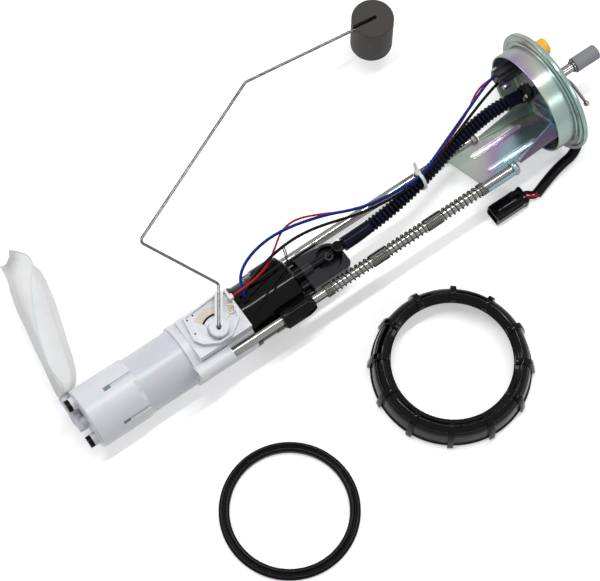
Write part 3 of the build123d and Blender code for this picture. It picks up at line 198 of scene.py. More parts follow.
def plated(name, lift=1.0):
    """Zinc plate with the green, pink and straw tints of its passivation; a lift above 1 brightens
    them into a painted highlight.
    """
    tree, bsdf = shader(name)
    tints = (
        (0.30, (0.22, 0.34, 0.35)),
        (0.42, (0.31, 0.40, 0.37)),
        (0.50, (0.40, 0.42, 0.37)),
        (0.57, (0.38, 0.33, 0.39)),
        (0.64, (0.31, 0.25, 0.38)),
        (0.72, (0.25, 0.36, 0.39)),
    )
    stops = [(place, tuple(min(c * lift, 0.95) for c in colour)) for place, colour in tints]
    tint = ramp(tree, clouds(tree, 11, 1.5, distortion=0.8), stops)
    tree.links.new(tint, bsdf.inputs["Base Color"])
    fine = clouds(tree, 60, 1.0)
    tree.links.new(remap(tree, fine, 0.22, 0.28), bsdf.inputs["Roughness"])
    bumped(tree, bsdf, fine, 0.03, 0.0003)
    bsdf.inputs["Metallic"].default_value = 0.8
    bsdf.inputs["Specular Tint"].default_value = (0.45, 0.55, 0.50, 1)


def cloth():
    """Fine white filter mesh: two crossed sets of threads."""
    tree, bsdf = shader("sock_cloth")
    weave = node(tree, "ShaderNodeMath", operation="MAXIMUM")
    for index, direction in enumerate("YZ"):
        tree.links.new(bands(tree, 260, direction), weave.inputs[index])
    tint = ramp(
        tree,
        clouds(tree, 22, 3.0, (1, 0.5, 1)),
        [(0.3, (0.75, 0.755, 0.73)), (0.55, (0.85, 0.85, 0.86)), (0.75, (0.80, 0.80, 0.77))],
    )
    tree.links.new(tint, bsdf.inputs["Base Color"])
    bumped(tree, bsdf, weave.outputs["Value"], 0.25, 0.0001)
    bsdf.inputs["Roughness"].default_value = 0.62
    bsdf.inputs["Sheen Weight"].default_value = 0.25
    bsdf.inputs["Subsurface Weight"].default_value = 0.25
    bsdf.inputs["Subsurface Scale"].default_value = 0.004


def foam():
    """Closed-cell float foam: dark, matt, with pores."""
    tree, bsdf = shader("float_foam")
    place = node(tree, "ShaderNodeTexCoord")
    cells = node(tree, "ShaderNodeTexVoronoi", Scale=900.0)
    tree.links.new(place.outputs["Object"], cells.inputs["Vector"])
    patches = clouds(tree, 120, 5.0)
    tint = ramp(tree, patches, [(0.3, (0.018, 0.015, 0.013)), (0.7, (0.045, 0.040, 0.036))])
    tree.links.new(tint, bsdf.inputs["Base Color"])
    tree.links.new(remap(tree, patches, 0.62, 0.85), bsdf.inputs["Roughness"])
    bumped(tree, bsdf, cells.outputs["Distance"], 0.45, 0.0003)


def card():
    """The sender card's fired ceramic: beige, a little cloudy."""
    tree, bsdf = shader("ceramic")
    tint = ramp(
        tree,
        clouds(tree, 90, 3.0),
        [(0.3, (0.62, 0.55, 0.45)), (0.7, (0.72, 0.66, 0.56))],
    )
    tree.links.new(tint, bsdf.inputs["Base Color"])
    fine = clouds(tree, 1500, 2.0)
    tree.links.new(remap(tree, fine, 0.4, 0.55), bsdf.inputs["Roughness"])
    bumped(tree, bsdf, fine, 0.1, 0.0001)


def housing():
    """The filter housing's black: glossy on the drum, greyer on the head plate."""
    plate_start, plate_full = -46.8 * MM, -46.2 * MM
    tree, bsdf = finish("housing_black", BLACK, 0.10, bump=0.003, extra=GLOSS)
    place = node(tree, "ShaderNodeTexCoord")
    parts = node(tree, "ShaderNodeSeparateXYZ")
    tree.links.new(place.outputs["Object"], parts.inputs["Vector"])
    share = remap(tree, parts.outputs["X"], 0.0, 1.0, plate_start, plate_full)
    tint = ramp(tree, share, [(0.0, BLACK), (1.0, (0.028, 0.028, 0.032))])
    tree.links.new(tint, bsdf.inputs["Base Color"])


def metals():
    plated("zinc_plate")
    # A brighter copy of the zinc for the ribs and folds: a painted highlight
    plated("zinc_painted_highlight", 2.1)
    finish(
        "bright_steel",
        (0.26, 0.257, 0.245),
        0.10,
        metal=1.0,
        vary=0.05,
        patch=60,
        grain=300,
        bump=0.05,
        depth=0.00005,
        stretch=DRAWN,
        extra=PAINTED_EDGE_SHADE,
    )
    finish(
        "spring_steel",
        (0.18, 0.176, 0.165),
        0.17,
        metal=1.0,
        vary=0.1,
        patch=80,
        grain=900,
        bump=0.05,
        extra=PAINTED_EDGE_SHADE,
    )
    finish(
        "arm_steel",
        (0.15, 0.148, 0.142),
        0.09,
        metal=1.0,
        vary=0.05,
        bump=0.03,
        stretch=DRAWN,
        extra=PAINTED_EDGE_SHADE,
    )
    finish("brass", (0.34, 0.28, 0.17), 0.25, metal=1.0, vary=0.08)
    finish("pump_steel", (0.42, 0.42, 0.43), 0.30, metal=1.0, vary=0.05)
    finish("armature_steel", (0.20, 0.19, 0.18), 0.4, metal=0.9, vary=0.1)


def plastics():
    finish("white_plastic", (0.77, 0.775, 0.80), 0.34, vary=0.02, extra=WHITE)
    finish("translucent_plastic", (0.67, 0.68, 0.73), 0.30, vary=0.03, patch=18, extra=MILKY)
    finish("clear_nylon", (0.72, 0.72, 0.70), 0.3, extra=MILKY)
    finish("black_plastic", BLACK, 0.065, vary=0.2, bump=0.003, extra=GLOSS)
    housing()
    finish("dark_plastic", (0.040, 0.040, 0.046), 0.26, vary=0.12, bump=0.04, extra=DEEP)
    # Painted shade for the dark ends of the cap's slots
    finish("slot_shade", (0.16, 0.23, 0.23), 0.35)
    finish("black_rubber", (0.003, 0.003, 0.0034), 0.28, vary=0.15, bump=0.15, extra=DEEP)
    finish("hose_nylon", (0.005, 0.006, 0.016), 0.16, vary=0.2, extra=DEEP)
    finish("grey_cap", (0.22, 0.22, 0.25), 0.55, vary=0.05, bump=0.12)
    finish("yellow_cap", (0.90, 0.46, 0.02), 0.38, vary=0.05)
    finish("blue_insulation", (0.004, 0.020, 0.21), 0.25, extra=DEEP)
    finish("red_insulation", (0.46, 0.006, 0.006), 0.25, extra=DEEP)
    finish("black_insulation", (0.002, 0.002, 0.002), 0.22, extra=DEEP)


def other_materials():
    cloth()
    foam()
    card()
    finish("filter_paper", (0.70, 0.60, 0.42), 0.8, grain=2500, bump=0.3)
    finish("magnet_ferrite", (0.05, 0.05, 0.055), 0.6, vary=0.1, bump=0.3)


def dress_nodes():
    """Each CAD node gets its slot's material, and a few get another one."""
    others = {
        "filter_housing": "housing_black",
        "snap_ring": "black_rubber",
        "outlet_elbow": "black_plastic",
        "float_arm_wire": "arm_steel",
    }
    for entry in frame["record"]["subparts"]:
        name = entry["node"]
        materials = nodes[name].data.materials
        materials.clear()
        materials.append(finishes[others.get(name, entry["material_slot"])])


metals()
plastics()
other_materials()
dress_nodes()


# Building blocks
def rounded(corners, radius, closed=True, steps=4):
    """The corners of a profile, each turned into a short curve."""
    points = [Vector(c) for c in corners]
    made = []
    count = len(points)
    for i, here in enumerate(points):
        if not closed and i in (0, count - 1):
            made.append(tuple(here))
            continue
        before = points[i - 1]
        after = points[(i + 1) % count]
        reach_in = min(radius, 0.45 * (here - before).length)
        reach_out = min(radius, 0.45 * (after - here).length)
        start = here + (before - here).normalized() * reach_in
        end = here + (after - here).normalized() * reach_out
        for step in range(steps + 1):
            t = step / steps
            spot = start * (1 - t) ** 2 + here * 2 * t * (1 - t) + end * t**2
            made.append(tuple(spot))
    return made


def circle(count):
    """Evenly spaced angles of a full turn."""
    return [2 * math.pi * i / count for i in range(count)]


def ease(value, start, end):
    """0 up to start, 1 from end on, even between."""
    return min(max((value - start) / (end - start), 0.0), 1.0)


def grid_faces(rows, columns, loop_rows=False, loop_columns=True):
    """The faces of a grid of points; a looped side joins its last line to its first."""
    faces = []
    for i in range(rows if loop_rows else rows - 1):
        n = (i + 1) % rows
        for j in range(columns if loop_columns else columns - 1):
            k = (j + 1) % columns
            faces.append((i * columns + j, i * columns + k, n * columns + k, n * columns + j))
    return faces


def end_faces(rows, columns):
    """The two faces that close a tube of such a grid."""
    return [tuple(range(columns)), tuple((rows - 1) * columns + j for j in range(columns))]


def add_mesh(name, verts, faces, slot, sharp=40):
    mesh = bpy.data.meshes.new(name)
    mesh.from_pydata([tuple(c * MM for c in v) for v in verts], [], faces)
    shape = bmesh.new()
    shape.from_mesh(mesh)
    bmesh.ops.remove_doubles(shape, verts=shape.verts, dist=1e-6)
    bmesh.ops.recalc_face_normals(shape, faces=shape.faces)
    shape.to_mesh(mesh)
    shape.free()
    mesh.polygons.foreach_set("use_smooth", [True] * len(mesh.polygons))
    mesh.set_sharp_from_angle(angle=math.radians(sharp))
    mesh.materials.append(finishes[slot])
    obj = bpy.data.objects.new(name, mesh)
    bpy.context.scene.collection.objects.link(obj)
    return obj


def add_shape(name, shape, slot, sharp):
    """A finished bmesh as a piece."""
    shape.verts.index_update()
    verts = [v.co.copy() for v in shape.verts]
    faces = [[v.index for v in f.verts] for f in shape.faces]
    shape.free()
    return add_mesh(name, verts, faces, slot, sharp)


def lathe(name, profile, slot, centre, along="x", steps=96, closed=True):
    """A profile of (place along the axis, radius) turned about the axis through centre."""
    verts = []
    for angle in circle(steps):
        c, s = math.cos(angle), math.sin(angle)
        for a, r in profile:
            if along == "x":
                verts.append((a, centre[0] + r * c, centre[1] + r * s))
            else:
                verts.append((centre[0] + r * c, centre[1] + r * s, a))
    return add_mesh(name, verts, grid_faces(steps, len(profile), True, closed), slot)


def nurbs(name, points, radius=0.0, slot=None):
    """A route's points, in millimetres, as the control points of a smooth spline."""
    curve = bpy.data.curves.new(name, "CURVE")
    curve.dimensions = "3D"
    curve.resolution_u = 16
    spline = curve.splines.new("NURBS")
    spline.points.add(len(points) - 1)
    for control, place in zip(spline.points, points):
        control.co = (*(c * MM for c in place), 1)
    spline.order_u = 3
    spline.use_endpoint_u = True
    obj = bpy.data.objects.new(name, curve)
    bpy.context.scene.collection.objects.link(obj)
    if radius:
        curve.bevel_depth = radius * MM
        curve.bevel_resolution = 5
        curve.use_fill_caps = True
        curve.materials.append(finishes[slot])
    return obj


def line_of(points):
    """The smooth spline's own line, in millimetres."""
    guide = nurbs("guide", points)
    bpy.context.view_layer.update()
    mesh = bpy.data.meshes.new_from_object(guide)
    line = [Vector(v.co) / MM for v in mesh.vertices]
    bpy.data.meshes.remove(mesh)
    bpy.data.objects.remove(guide)
    return line


def even(line, step):
    """The same line with points at even distances, and its length."""
    places = [0.0]
    for a, b in zip(line, line[1:]):
        places.append(places[-1] + (b - a).length)
    count = max(2, int(places[-1] / step))
    wanted = np.linspace(0, places[-1], count + 1)
    columns = [np.interp(wanted, places, [p[axis] for p in line]) for axis in range(3)]
    return [Vector(p) for p in zip(*columns)], places[-1]


def sweep(name, line, radii, slot, sides=20, sharp=60):
    """A closed tube along a line, with one radius or one for each of the line's points."""
    if isinstance(radii, float):
        radii = [radii] * len(line)
    tangents = []
    for i in range(len(line)):
        low, high = line[max(i - 1, 0)], line[min(i + 1, len(line) - 1)]
        tangents.append((high - low).normalized())
    normal = tangents[0].orthogonal().normalized()
    verts = []
    for spot, tangent, radius in zip(line, tangents, radii):
        normal = (normal - tangent * normal.dot(tangent)).normalized()
        side = tangent.cross(normal)
        for angle in circle(sides):
            verts.append(spot + (normal * math.cos(angle) + side * math.sin(angle)) * radius)
    faces = grid_faces(len(line), sides) + end_faces(len(line), sides)
    return add_mesh(name, verts, faces, slot, sharp)


def wire(name, points, radius, slot, step=1.5, sides=12):
    line, _ = even(line_of(points), step)
    return sweep(name, line, radius, slot, sides)


def block(name, low, high, slot, bevel=0.4, turn=None):
    """A box with softened edges; turn places it by a matrix."""
    shape = bmesh.new()
    bmesh.ops.create_cube(shape, size=1)
    size = Vector(high) - Vector(low)
    middle = (Vector(high) + Vector(low)) / 2
    for v in shape.verts:
        v.co = Vector([v.co[i] * size[i] for i in range(3)]) + middle
    bmesh.ops.bevel(
        shape, geom=shape.edges[:], offset=bevel, segments=2, affect="EDGES", profile=0.5
    )
    if turn is not None:
        bmesh.ops.transform(shape, matrix=turn, verts=shape.verts)
    return add_shape(name, shape, slot, 50)


def prism(name, outline, depth, place, slot, bevel=0.3):
    """An outline in a plane, given by place, extruded by depth along the plane's z."""
    shape = bmesh.new()
    low = [shape.verts.new((x, y, 0)) for x, y in outline]
    face = shape.faces.new(low)
    made = bmesh.ops.extrude_face_region(shape, geom=[face])
    top = [v for v in made["geom"] if isinstance(v, bmesh.types.BMVert)]
    bmesh.ops.translate(shape, verts=top, vec=(0, 0, depth))
    bmesh.ops.recalc_face_normals(shape, faces=shape.faces)
    edges = [e for e in shape.edges if e.calc_face_angle(0) > math.radians(20)]
    bmesh.ops.bevel(shape, geom=edges, offset=bevel, segments=2, affect="EDGES", profile=0.5)
    bmesh.ops.transform(shape, matrix=place, verts=shape.verts)
    return add_shape(name, shape, slot, 40)


def axes(origin, x_dir, z_dir):
    """The matrix of a plane, from its origin, its own x and its normal."""
    x = Vector(x_dir).normalized()
    z = Vector(z_dir).normalized()
    y = z.cross(x)
    made = Matrix((x, y, z)).transposed().to_4x4()
    made.translation = Vector(origin)
    return made


def on_plate(x, across, lift=0.0):
    """A place on the bracket's plate, which lies in the plane of the rods."""
    y = CAN_Y + across * math.cos(TILT) + lift * math.sin(TILT)
    return Vector((x, y, CAN_Z - across * math.sin(TILT) + lift * math.cos(TILT)))


def slides(obj, replaced):
    """Bakes the piece's place into its mesh and hides the CAD node that it replaces."""
    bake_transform(obj)
    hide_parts(replaced)


def flange():
    """Drawn cup with soft bends, a stepped face and a rolled rim."""
    profile = [
        (207.5, 0.0),
        (207.5, 43.8),
        (189.6, 44.6),
        (188.9, 45.6),
        (189.6, 46.3),
        (206.8, 46.1),
        (207.6, 46.9),
        (207.6, 49.6),
        (206.9, 50.3),
        (208.5, 51.9),
        (208.5, 54.2),
        (207.7, 55.2),
        (209.4, 55.6),
        (212.0, 55.2),
        (212.0, 54.2),
        (209.9, 53.6),
        (209.8, 51.4),
        (208.8, 50.3),
        (208.8, 0.0),
    ]
    shell = rounded(profile, 1.0, closed=False)
    made = lathe("flange_shell", shell, "zinc_plate", FLANGE_CENTRE, closed=False)
    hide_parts("flange")
    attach(made, "flange_assembly")


flange()


def spring():
    """Close-wound stretches with open coils between them, round the near rod."""
    wire_d, coil_r = 1.3, 4.95
    low, top = -42.0, 119.45
    closed, opened = (5, 12, 12, 4), 9
    gaps = len(closed) - 1
    pitch = (top - low - sum(closed) * wire_d) / gaps / opened
    stretches = [(closed[0], wire_d * 1.01)]
    for count in closed[1:]:
        stretches += [(opened, pitch), (count, wire_d * 1.01)]
    scale = (top - low - wire_d) / sum(count * step for count, step in stretches)
    per_turn = 22
    x, turn, line = low + wire_d / 2, 0.0, []
    for count, step in stretches:
        for _ in range(count * per_turn):
            angle = 2 * math.pi * turn
            y = NEAR_ROD[0] + coil_r * math.cos(angle)
            line.append(Vector((x, y, NEAR_ROD[1] + coil_r * math.sin(angle))))
            turn += 1 / per_turn
            x += step * scale / per_turn
    slides(sweep("spring_coil", line, wire_d / 2, "spring_steel", 8), "spring")


spring()


def on_pipe(distance):
    """A place on the outlet pipe's axis, inside the flange."""
    slope = math.radians(15)
    x, y, z = 203.5, 39.5, 54.0
    return (x - distance * math.cos(slope), y + distance * math.sin(slope), z)


def fuel_hose():
    """Corrugated between two smooth cuffs."""
    points = [
        (-5.9, 20.8, 47.1),
        (26.0, 20.8, 47.1),
        (76.0, 27.2, 52.0),
        (126.8, 41.0, 54.5),
        on_pipe(27.5),
        on_pipe(2.5),
    ]
    pump_cuff, pipe_cuff = 27.0, 22.0
    rib_pitch, groove_r, rib_height = 3.8, 4.2, 2.05
    line, length = even(line_of(points), 0.42)
    radii = []
    for i in range(len(line)):
        s = length * i / (len(line) - 1)
        if s < pump_cuff:
            radii.append(6.1 - 0.5 * ease(s, 14.0, pump_cuff))
        elif s > length - pipe_cuff:
            radii.append(5.7)
        else:
            wave = abs(math.cos(math.pi * (s - pump_cuff) / rib_pitch)) ** 0.8
            radii.append(groove_r + rib_height * wave)
    made = sweep("corrugated_hose", line, radii, "hose_nylon", 28, sharp=75)
    slides(made, "fuel_hose")


fuel_hose()


def wires():
    """Three wires from the connector under the flange."""
    blue = [
        (183.7, 65.5, 67.0),
        (175.0, 65.5, 67.0),
        (145.6, 54.0, 66.5),
        (103.8, 38.0, 66.0),
        (77.0, 27.6, 61.8),
        (45.0, 29.7, 62.0),
        (19.9, 34.0, 61.5),
        (-8.3, 47.4, 60.0),
        (-44.6, 56.6, 59.0),
        (-73.4, 54.2, 58.5),
        (-93.5, 43.3, 58.5),
        (-99.45, 26.0, 60.5),
        (-99.45, 26.0, 53.6),
    ]
    red = [
        (183.7, 65.5, 62.0),
        (175.0, 67.0, 62.5),
        (160.0, 64.0, 63.0),
        (143.0, 53.0, 62.5),
        (124.5, 45.0, 62.0),
        (77.0, 29.0, 59.0),
        (42.0, 29.9, 58.8),
        (17.5, 35.6, 58.0),
        (-12.8, 53.2, 56.0),
        (-29.1, 59.1, 55.0),
        (-42.6, 56.9, 54.5),
        (-56.8, 46.2, 54.5),
        (-70.1, 36.8, 56.5),
        (-88.9, 31.4, 62.5),
        (-101.0, 30.2, 64.0),
        (-108.6, 30.0, 64.0),
    ]
    black = [
        (183.7, 60.5, 62.0),
        (175.0, 60.0, 62.0),
        (124.5, 43.0, 60.8),
        (77.0, 26.3, 59.3),
        (44.6, 27.3, 58.6),
        (18.3, 31.6, 57.0),
        (-14.0, 41.8, 57.0),
        (-35.9, 44.6, 58.2),
        (-57.4, 43.1, 58.8),
        (-75.3, 39.2, 57.0),
        (-87.0, 35.6, 55.0),
        (-90.0, 34.6, 51.6),
    ]
    for colour, points, radius in (("blue", blue, 1.3), ("red", red, 0.9), ("black", black, 1.25)):
        made = wire(f"{colour}_wire", points, radius, f"{colour}_insulation")
        slides(made, f"wire_{colour}")


wires()


def thin_leads():
    """Two leads that drop from the black wire, cross the drum and end at the pump's terminal."""
    first = [
        (-48.3, 44.2, 57.2),
        (-49.5, 38.5, 53.0),
        (-53.1, 31.4, 53.4),
        (-63.2, 25.4, 54.9),
        (-80.0, 19.5, 54.8),
        (-97.0, 13.5, 53.6),
        (-106.0, 9.0, 51.0),
    ]
    second = [
        (-49.9, 44.4, 57.2),
        (-51.5, 37.5, 54.2),
        (-55.0, 28.0, 54.4),
        (-68.0, 21.0, 55.2),
        (-84.0, 15.0, 54.2),
        (-99.0, 10.6, 53.0),
        (-106.0, 8.0, 50.8),
    ]
    for index, points in enumerate((first, second)):
        lead = wire(f"thin_lead_{index + 1}", points, 0.45, "black_insulation", 1.0, 8)
        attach(lead, "reservoir")


thin_leads()


SHEATH_ROUTE = [
    (218.3, 25.64, 40.87),
    (224.5, 8.8, 25.6),
    (224.0, -4.2, 13.4),
    (213.0, -11.0, 5.4),
    (199.0, -12.4, 4.8),
    (183.0, -16.2, 4.8),
    (165.5, -22.0, 4.8),
]


def pigtail():
    """A free cord from the flange to its plug: a sheath, with four leads at its end."""
    sheath = nurbs("pigtail_sleeve", SHEATH_ROUTE, 4.4, "black_rubber")
    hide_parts("pigtail_sheath")
    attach(sheath, "flange_assembly")

    leads = []
    for side, level in ((-1, -1), (1, -1), (-1, 1), (1, 1)):
        route = [
            (167.0, -21.6 + 1.7 * side, 4.8 + 1.7 * level),
            (162.5, -21.9 + 2.2 * side, 4.9 + 1.9 * level),
            (158.5, -18.6 + 2.6 * side, 6.0 + 2.2 * level),
            (154.0, -17.6 + 2.6 * side, 6.0 + 2.2 * level),
        ]
        colour = "black_insulation" if side == level else "red_insulation"
        leads.append(wire(f"pigtail_lead_{len(leads) + 1}", route, 0.95, colour, 0.7, 10))
        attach(leads[-1], "flange_assembly")
    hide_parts("pigtail_leads")
    return sheath, leads


sheath, leads = pigtail()


def bag_spot(y, share, edges, angle):
    """A place on the bag's skin: angle runs round it, from its top edge over its right side."""
    left, right, seam, half_height = edges
    middle = (left + right) / 2
    c, s = math.cos(angle), math.sin(angle)

    # The top edge follows its seam, and from y = 100 on the lower edge leans to the left
    leaning = ease(y, 100, 150)
    spine = middle + (seam - middle) * max(c, 0.0) ** 1.5
    spine += (left + 1.5 - middle) * leaning * max(-c, 0.0) ** 1.2
    side = right if s > 0 else left
    x = spine + (side - spine) * abs(s) ** 0.85

    # Soft folds, and two creases along the upper part
    fold = noise.noise(Vector((c * 2.2, s * 2.2, y * 0.012))) * 2.2
    fold += noise.noise(Vector((c * 5.0, s * 5.0 + 9, y * 0.03))) * 0.9
    crease = math.exp(-(((c - 0.62) * 8) ** 2)) * (1.9 if s > 0 else 1.1)
    crease += math.exp(-(((c - 0.25 + 0.2 * share) * 9) ** 2)) * (1.2 if s > 0 else 0.0)
    x += (fold * min(1.0, (right - left) / 20) - crease) * s

    # The sewn end closes to a thin edge, hollow between its two ears
    closing = ease(y, 152, 178)
    x += (middle + (right - left) / 2 * c + 0.8 * s - x) * closing**2 * (3 - 2 * closing)
    drawn_in = share**8 * (-2.2 * c - 7.0 * (1 - c * c))
    return (x, y + drawn_in, 25 + half_height * c)


def strainer():
    """A flat cloth bag on its spacer, sewn along its edges and across its end."""
    # y of a section, x of its left side, of its right side and of its top seam, half its height
    sections = (
        (49.3, -264.6, -252.0, -258.5, 6.4),
        (54.0, -264.6, -246.4, -257.0, 10.0),
        (62.0, -264.0, -241.4, -257.8, 12.6),
        (74.0, -262.0, -237.0, -257.6, 14.2),
        (86.0, -259.9, -233.2, -254.6, 15.2),
        (103.0, -257.0, -227.9, -249.4, 16.2),
        (121.0, -253.8, -222.6, -242.2, 17.0),
        (140.0, -250.3, -218.7, -233.0, 16.8),
        (150.0, -248.0, -217.6, -225.0, 16.4),
        (158.0, -245.8, -218.6, -220.8, 16.0),
        (166.0, -243.4, -221.4, -222.2, 15.6),
        (173.0, -241.8, -226.6, -227.2, 15.3),
        (178.0, -241.4, -231.2, -231.4, 15.0),
    )
    ys, *columns = zip(*sections)
    rows, around = 85, 72
    verts = []
    for i in range(rows):
        share = i / (rows - 1)
        y = ys[0] + (ys[-1] - ys[0]) * share
        edges = [float(np.interp(y, ys, column)) for column in columns]
        verts += [bag_spot(y, share, edges, angle) for angle in circle(around)]
    faces = grid_faces(rows, around) + end_faces(rows, around)
    sock = add_mesh("strainer_bag", verts, faces, "sock_cloth", 70)

    welts = []
    for edge in (0, around // 2):
        line = [Vector(verts[i * around + edge]) for i in range(0, rows, 2)]
        welts.append(sweep(f"strainer_seam_{len(welts) + 1}", line, 0.75, "sock_cloth", 8))
        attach(welts[-1], "reservoir")
    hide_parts("strainer_sock")
    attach(sock, "reservoir")
    return sock, welts


sock, welts = strainer()


def lock_ring():
    """Collar with a rolled crest, an inner lip, threads and twelve ribs."""
    bore_r = 60.8
    profile = [
        (0.0, bore_r),
        (0.0, 66.4),
        (2.4, 66.8),
        (3.4, 65.4),
        (9.0, 64.9),
        (15.0, 64.0),
        (18.2, 62.9),
        (18.8, 62.0),
        (19.8, 62.1),
        (21.6, 60.6),
        (23.0, 58.6),
        (24.0, 57.0),
        (23.4, 55.6),
        (22.0, 54.0),
        (20.8, 51.2),
        (19.6, 50.0),
        (17.6, 50.2),
        (17.2, 52.0),
        (17.6, 59.0),
        (16.4, bore_r),
    ]
    thread_pitch, thread_depth, flank = 3.7, 1.4, 0.8
    for turn in range(4):
        top = 15.0 - thread_pitch * turn
        crest_r = bore_r - thread_depth
        profile += [(top, bore_r), (top - flank, crest_r)]
        profile += [(top - 2 * flank, crest_r), (top - 3 * flank, bore_r)]
    shell = rounded(profile, 0.5, steps=2)
    ring = lathe("ring_collar", shell, "black_plastic", RING_CENTRE, "z", 160)
    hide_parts("lock_ring")
    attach(ring, "lock_ring")

    outline = [
        (60.9, 0.0),
        (68.8, 0.0),
        (68.8, 4.0),
        (67.2, 12.0),
        (65.8, 18.0),
        (63.8, 22.0),
        (60.8, 24.2),
        (57.4, 25.1),
        (54.6, 24.4),
        (51.2, 22.6),
        (50.4, 20.0),
        (57.0, 20.6),
        (61.0, 19.4),
    ]
    count, width, first_angle = 12, 5.2, -7
    for index in range(count):
        angle = math.radians(360 / count * index + first_angle)
        outward = Vector((math.cos(angle), math.sin(angle), 0))
        side = Vector((0, 0, 1)).cross(outward)
        place = axes(Vector((*RING_CENTRE, 0)) + side * width / 2, outward, -side)
        rib = prism(f"ring_rib_{index + 1}", outline, width, place, "black_plastic", 0.5)
        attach(rib, "lock_ring")


lock_ring()


def gasket():
    """A moulded ring with a groove round its face."""
    profile = [
        (0.0, 48.1),
        (0.0, 57.0),
        (2.2, 57.0),
        (3.2, 55.4),
        (5.4, 54.8),
        (5.6, 53.8),
        (4.4, 53.2),
        (4.4, 52.2),
        (5.6, 51.4),
        (5.6, 49.6),
        (4.4, 48.3),
    ]
    shell = rounded(profile, 0.5, steps=3)
    made = lathe("seal_ring", shell, "black_rubber", GASKET_CENTRE, "z", 128)
    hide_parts("gasket")
    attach(made, "flange_assembly")


gasket()


def ridge(name, start, end, half_width, height, up, slot):
    """A half-round ridge with rounded ends."""
    along = (end - start).normalized()
    side = along.cross(up).normalized()
    length = (end - start).length
    rounding = half_width * 1.6
    rings, arc = 40, 12
    verts = []
    for i in range(rings + 1):
        place = length * (1 - math.cos(math.pi * i / rings)) / 2
        reach = min(place, length - place, rounding) / rounding
        share = math.sqrt(max(1 - (1 - reach) ** 2, 0))
        for j in range(arc + 1):
            angle = math.pi * j / arc
            out = side * (half_width * share * math.cos(angle))
            verts.append(start + along * place + out + up * (height * share * math.sin(angle)))
    return add_mesh(name, verts, grid_faces(rings + 1, arc + 1), slot, 60)


def bracket():
    """Folded sheet details: two pressed ribs, and the fold lines."""
    up = on_plate(0, 0, 1) - on_plate(0, 0, 0)
    rib_start, rib_lift, half_width, height = 133.2, 0.7, 2.9, 2.7
    made = []
    for across, end_across, end_x in ((11.3, 11.3, 186.5), (-17.1, -16.4, 183.5)):
        start = on_plate(rib_start, across, rib_lift)
        end = on_plate(end_x, end_across, rib_lift)
        name = f"bracket_rib_{len(made) + 1}"
        made.append(ridge(name, start, end, half_width, height, up, "zinc_plate"))
    folds = (
        (on_plate(153.5, 27.0), on_plate(205.4, 20.4)),
        (on_plate(157.5, -27.0), on_plate(205.4, -8.2)),
        (on_plate(205.5, 20.4), on_plate(205.5, -8.2)),
    )
    for index, ends in enumerate(folds):
        line, _ = even(ends, 4.0)
        made.append(sweep(f"bracket_fold_{index + 1}", line, 0.95, "zinc_plate", 12))
    # The ribs and folds wear the brighter zinc, a painted highlight on them
    for piece in made:
        piece.data.materials[0] = finishes["zinc_painted_highlight"]
        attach(piece, "flange_assembly")


bracket()


def rod_ears():
    """The bracket's ears over the rod ends."""
    profile = [
        (147.0, 0.0),
        (147.0, 5.4),
        (148.4, 6.3),
        (150.6, 6.4),
        (152.3, 5.2),
        (153.1, 3.0),
        (153.3, 0.0),
    ]
    shell = rounded(profile, 0.5, closed=False)
    for index, place in enumerate((NEAR_ROD, FAR_ROD)):
        ear = lathe(f"rod_ear_{index + 1}", shell, "zinc_plate", place, steps=32, closed=False)
        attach(ear, "flange_assembly")


rod_ears()


def guide_block(name, y, z):
    """A block round a rod: round at its ends, square between, with the rod's bore."""
    half_width, bore_r = 7.35, 4.06
    around = 48
    # Place along x, and the section's power: 2 makes it round, and more makes it squarer
    stations = [
        (-84.2, 2.0),
        (-83.6, 2.6),
        (-82.4, 6.0),
        (-62.0, 6.0),
        (-57.5, 3.4),
        (-55.0, 2.4),
        (-54.4, 2.0),
    ]
    rings = []
    for x, power in stations:
        radii = []
        for angle in circle(around):
            c, s = abs(math.cos(angle)), abs(math.sin(angle))
            radii.append(half_width / (c**power + s**power) ** (1 / power))
        rings.append((x, radii))
    for x, _ in (stations[-1], stations[0]):
        rings.append((x, [bore_r] * around))
    verts = []
    for x, radii in rings:
        for angle, r in zip(circle(around), radii):
            verts.append((x, y + r * math.cos(angle - TILT), z + r * math.sin(angle - TILT)))
    faces = grid_faces(len(rings), around, loop_rows=True)
    return add_mesh(name, verts, faces, "black_plastic", 35)


def filter_housing_trim():
    """Guide blocks on both rods, and two webs between the drum and the head plate."""
    for index, (y, z) in enumerate((NEAR_ROD, FAR_ROD)):
        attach(guide_block(f"guide_block_{index + 1}", y, z), "reservoir")
    for index, (low_y, high_y) in enumerate(((30.4, 37.4), (1.6, 7.6))):
        low, high = (-54.9, low_y, 24.0), (-45.6, high_y, 39.0)
        web = block(f"head_web_{index + 1}", low, high, "black_plastic", 0.5)
        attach(web, "reservoir")


filter_housing_trim()


def strainer_duct():
    """A white tube across the cap's end, with two grooves and a stub into the cap."""
    x, level, outer_r, groove = -261.5, 23.3, 4.45, 0.5
    line, _ = even([Vector((x, 17.4, level)), Vector((x, 49.0, level))], 1.0)
    shares = [i / len(line) for i in range(len(line))]
    radii = [outer_r - (groove if 0.25 < share % 0.33 < 0.3 else 0) for share in shares]
    duct = sweep("duct_shell", line, radii, "translucent_plastic", 32, sharp=35)
    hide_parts("strainer_duct")
    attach(duct, "reservoir")
    line, _ = even([Vector((x, CAN_Y, CAN_Z)), Vector((-240.0, CAN_Y, CAN_Z))], 4.0)
    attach(sweep("duct_stub", line, 4.4, "translucent_plastic", 32), "reservoir")


strainer_duct()


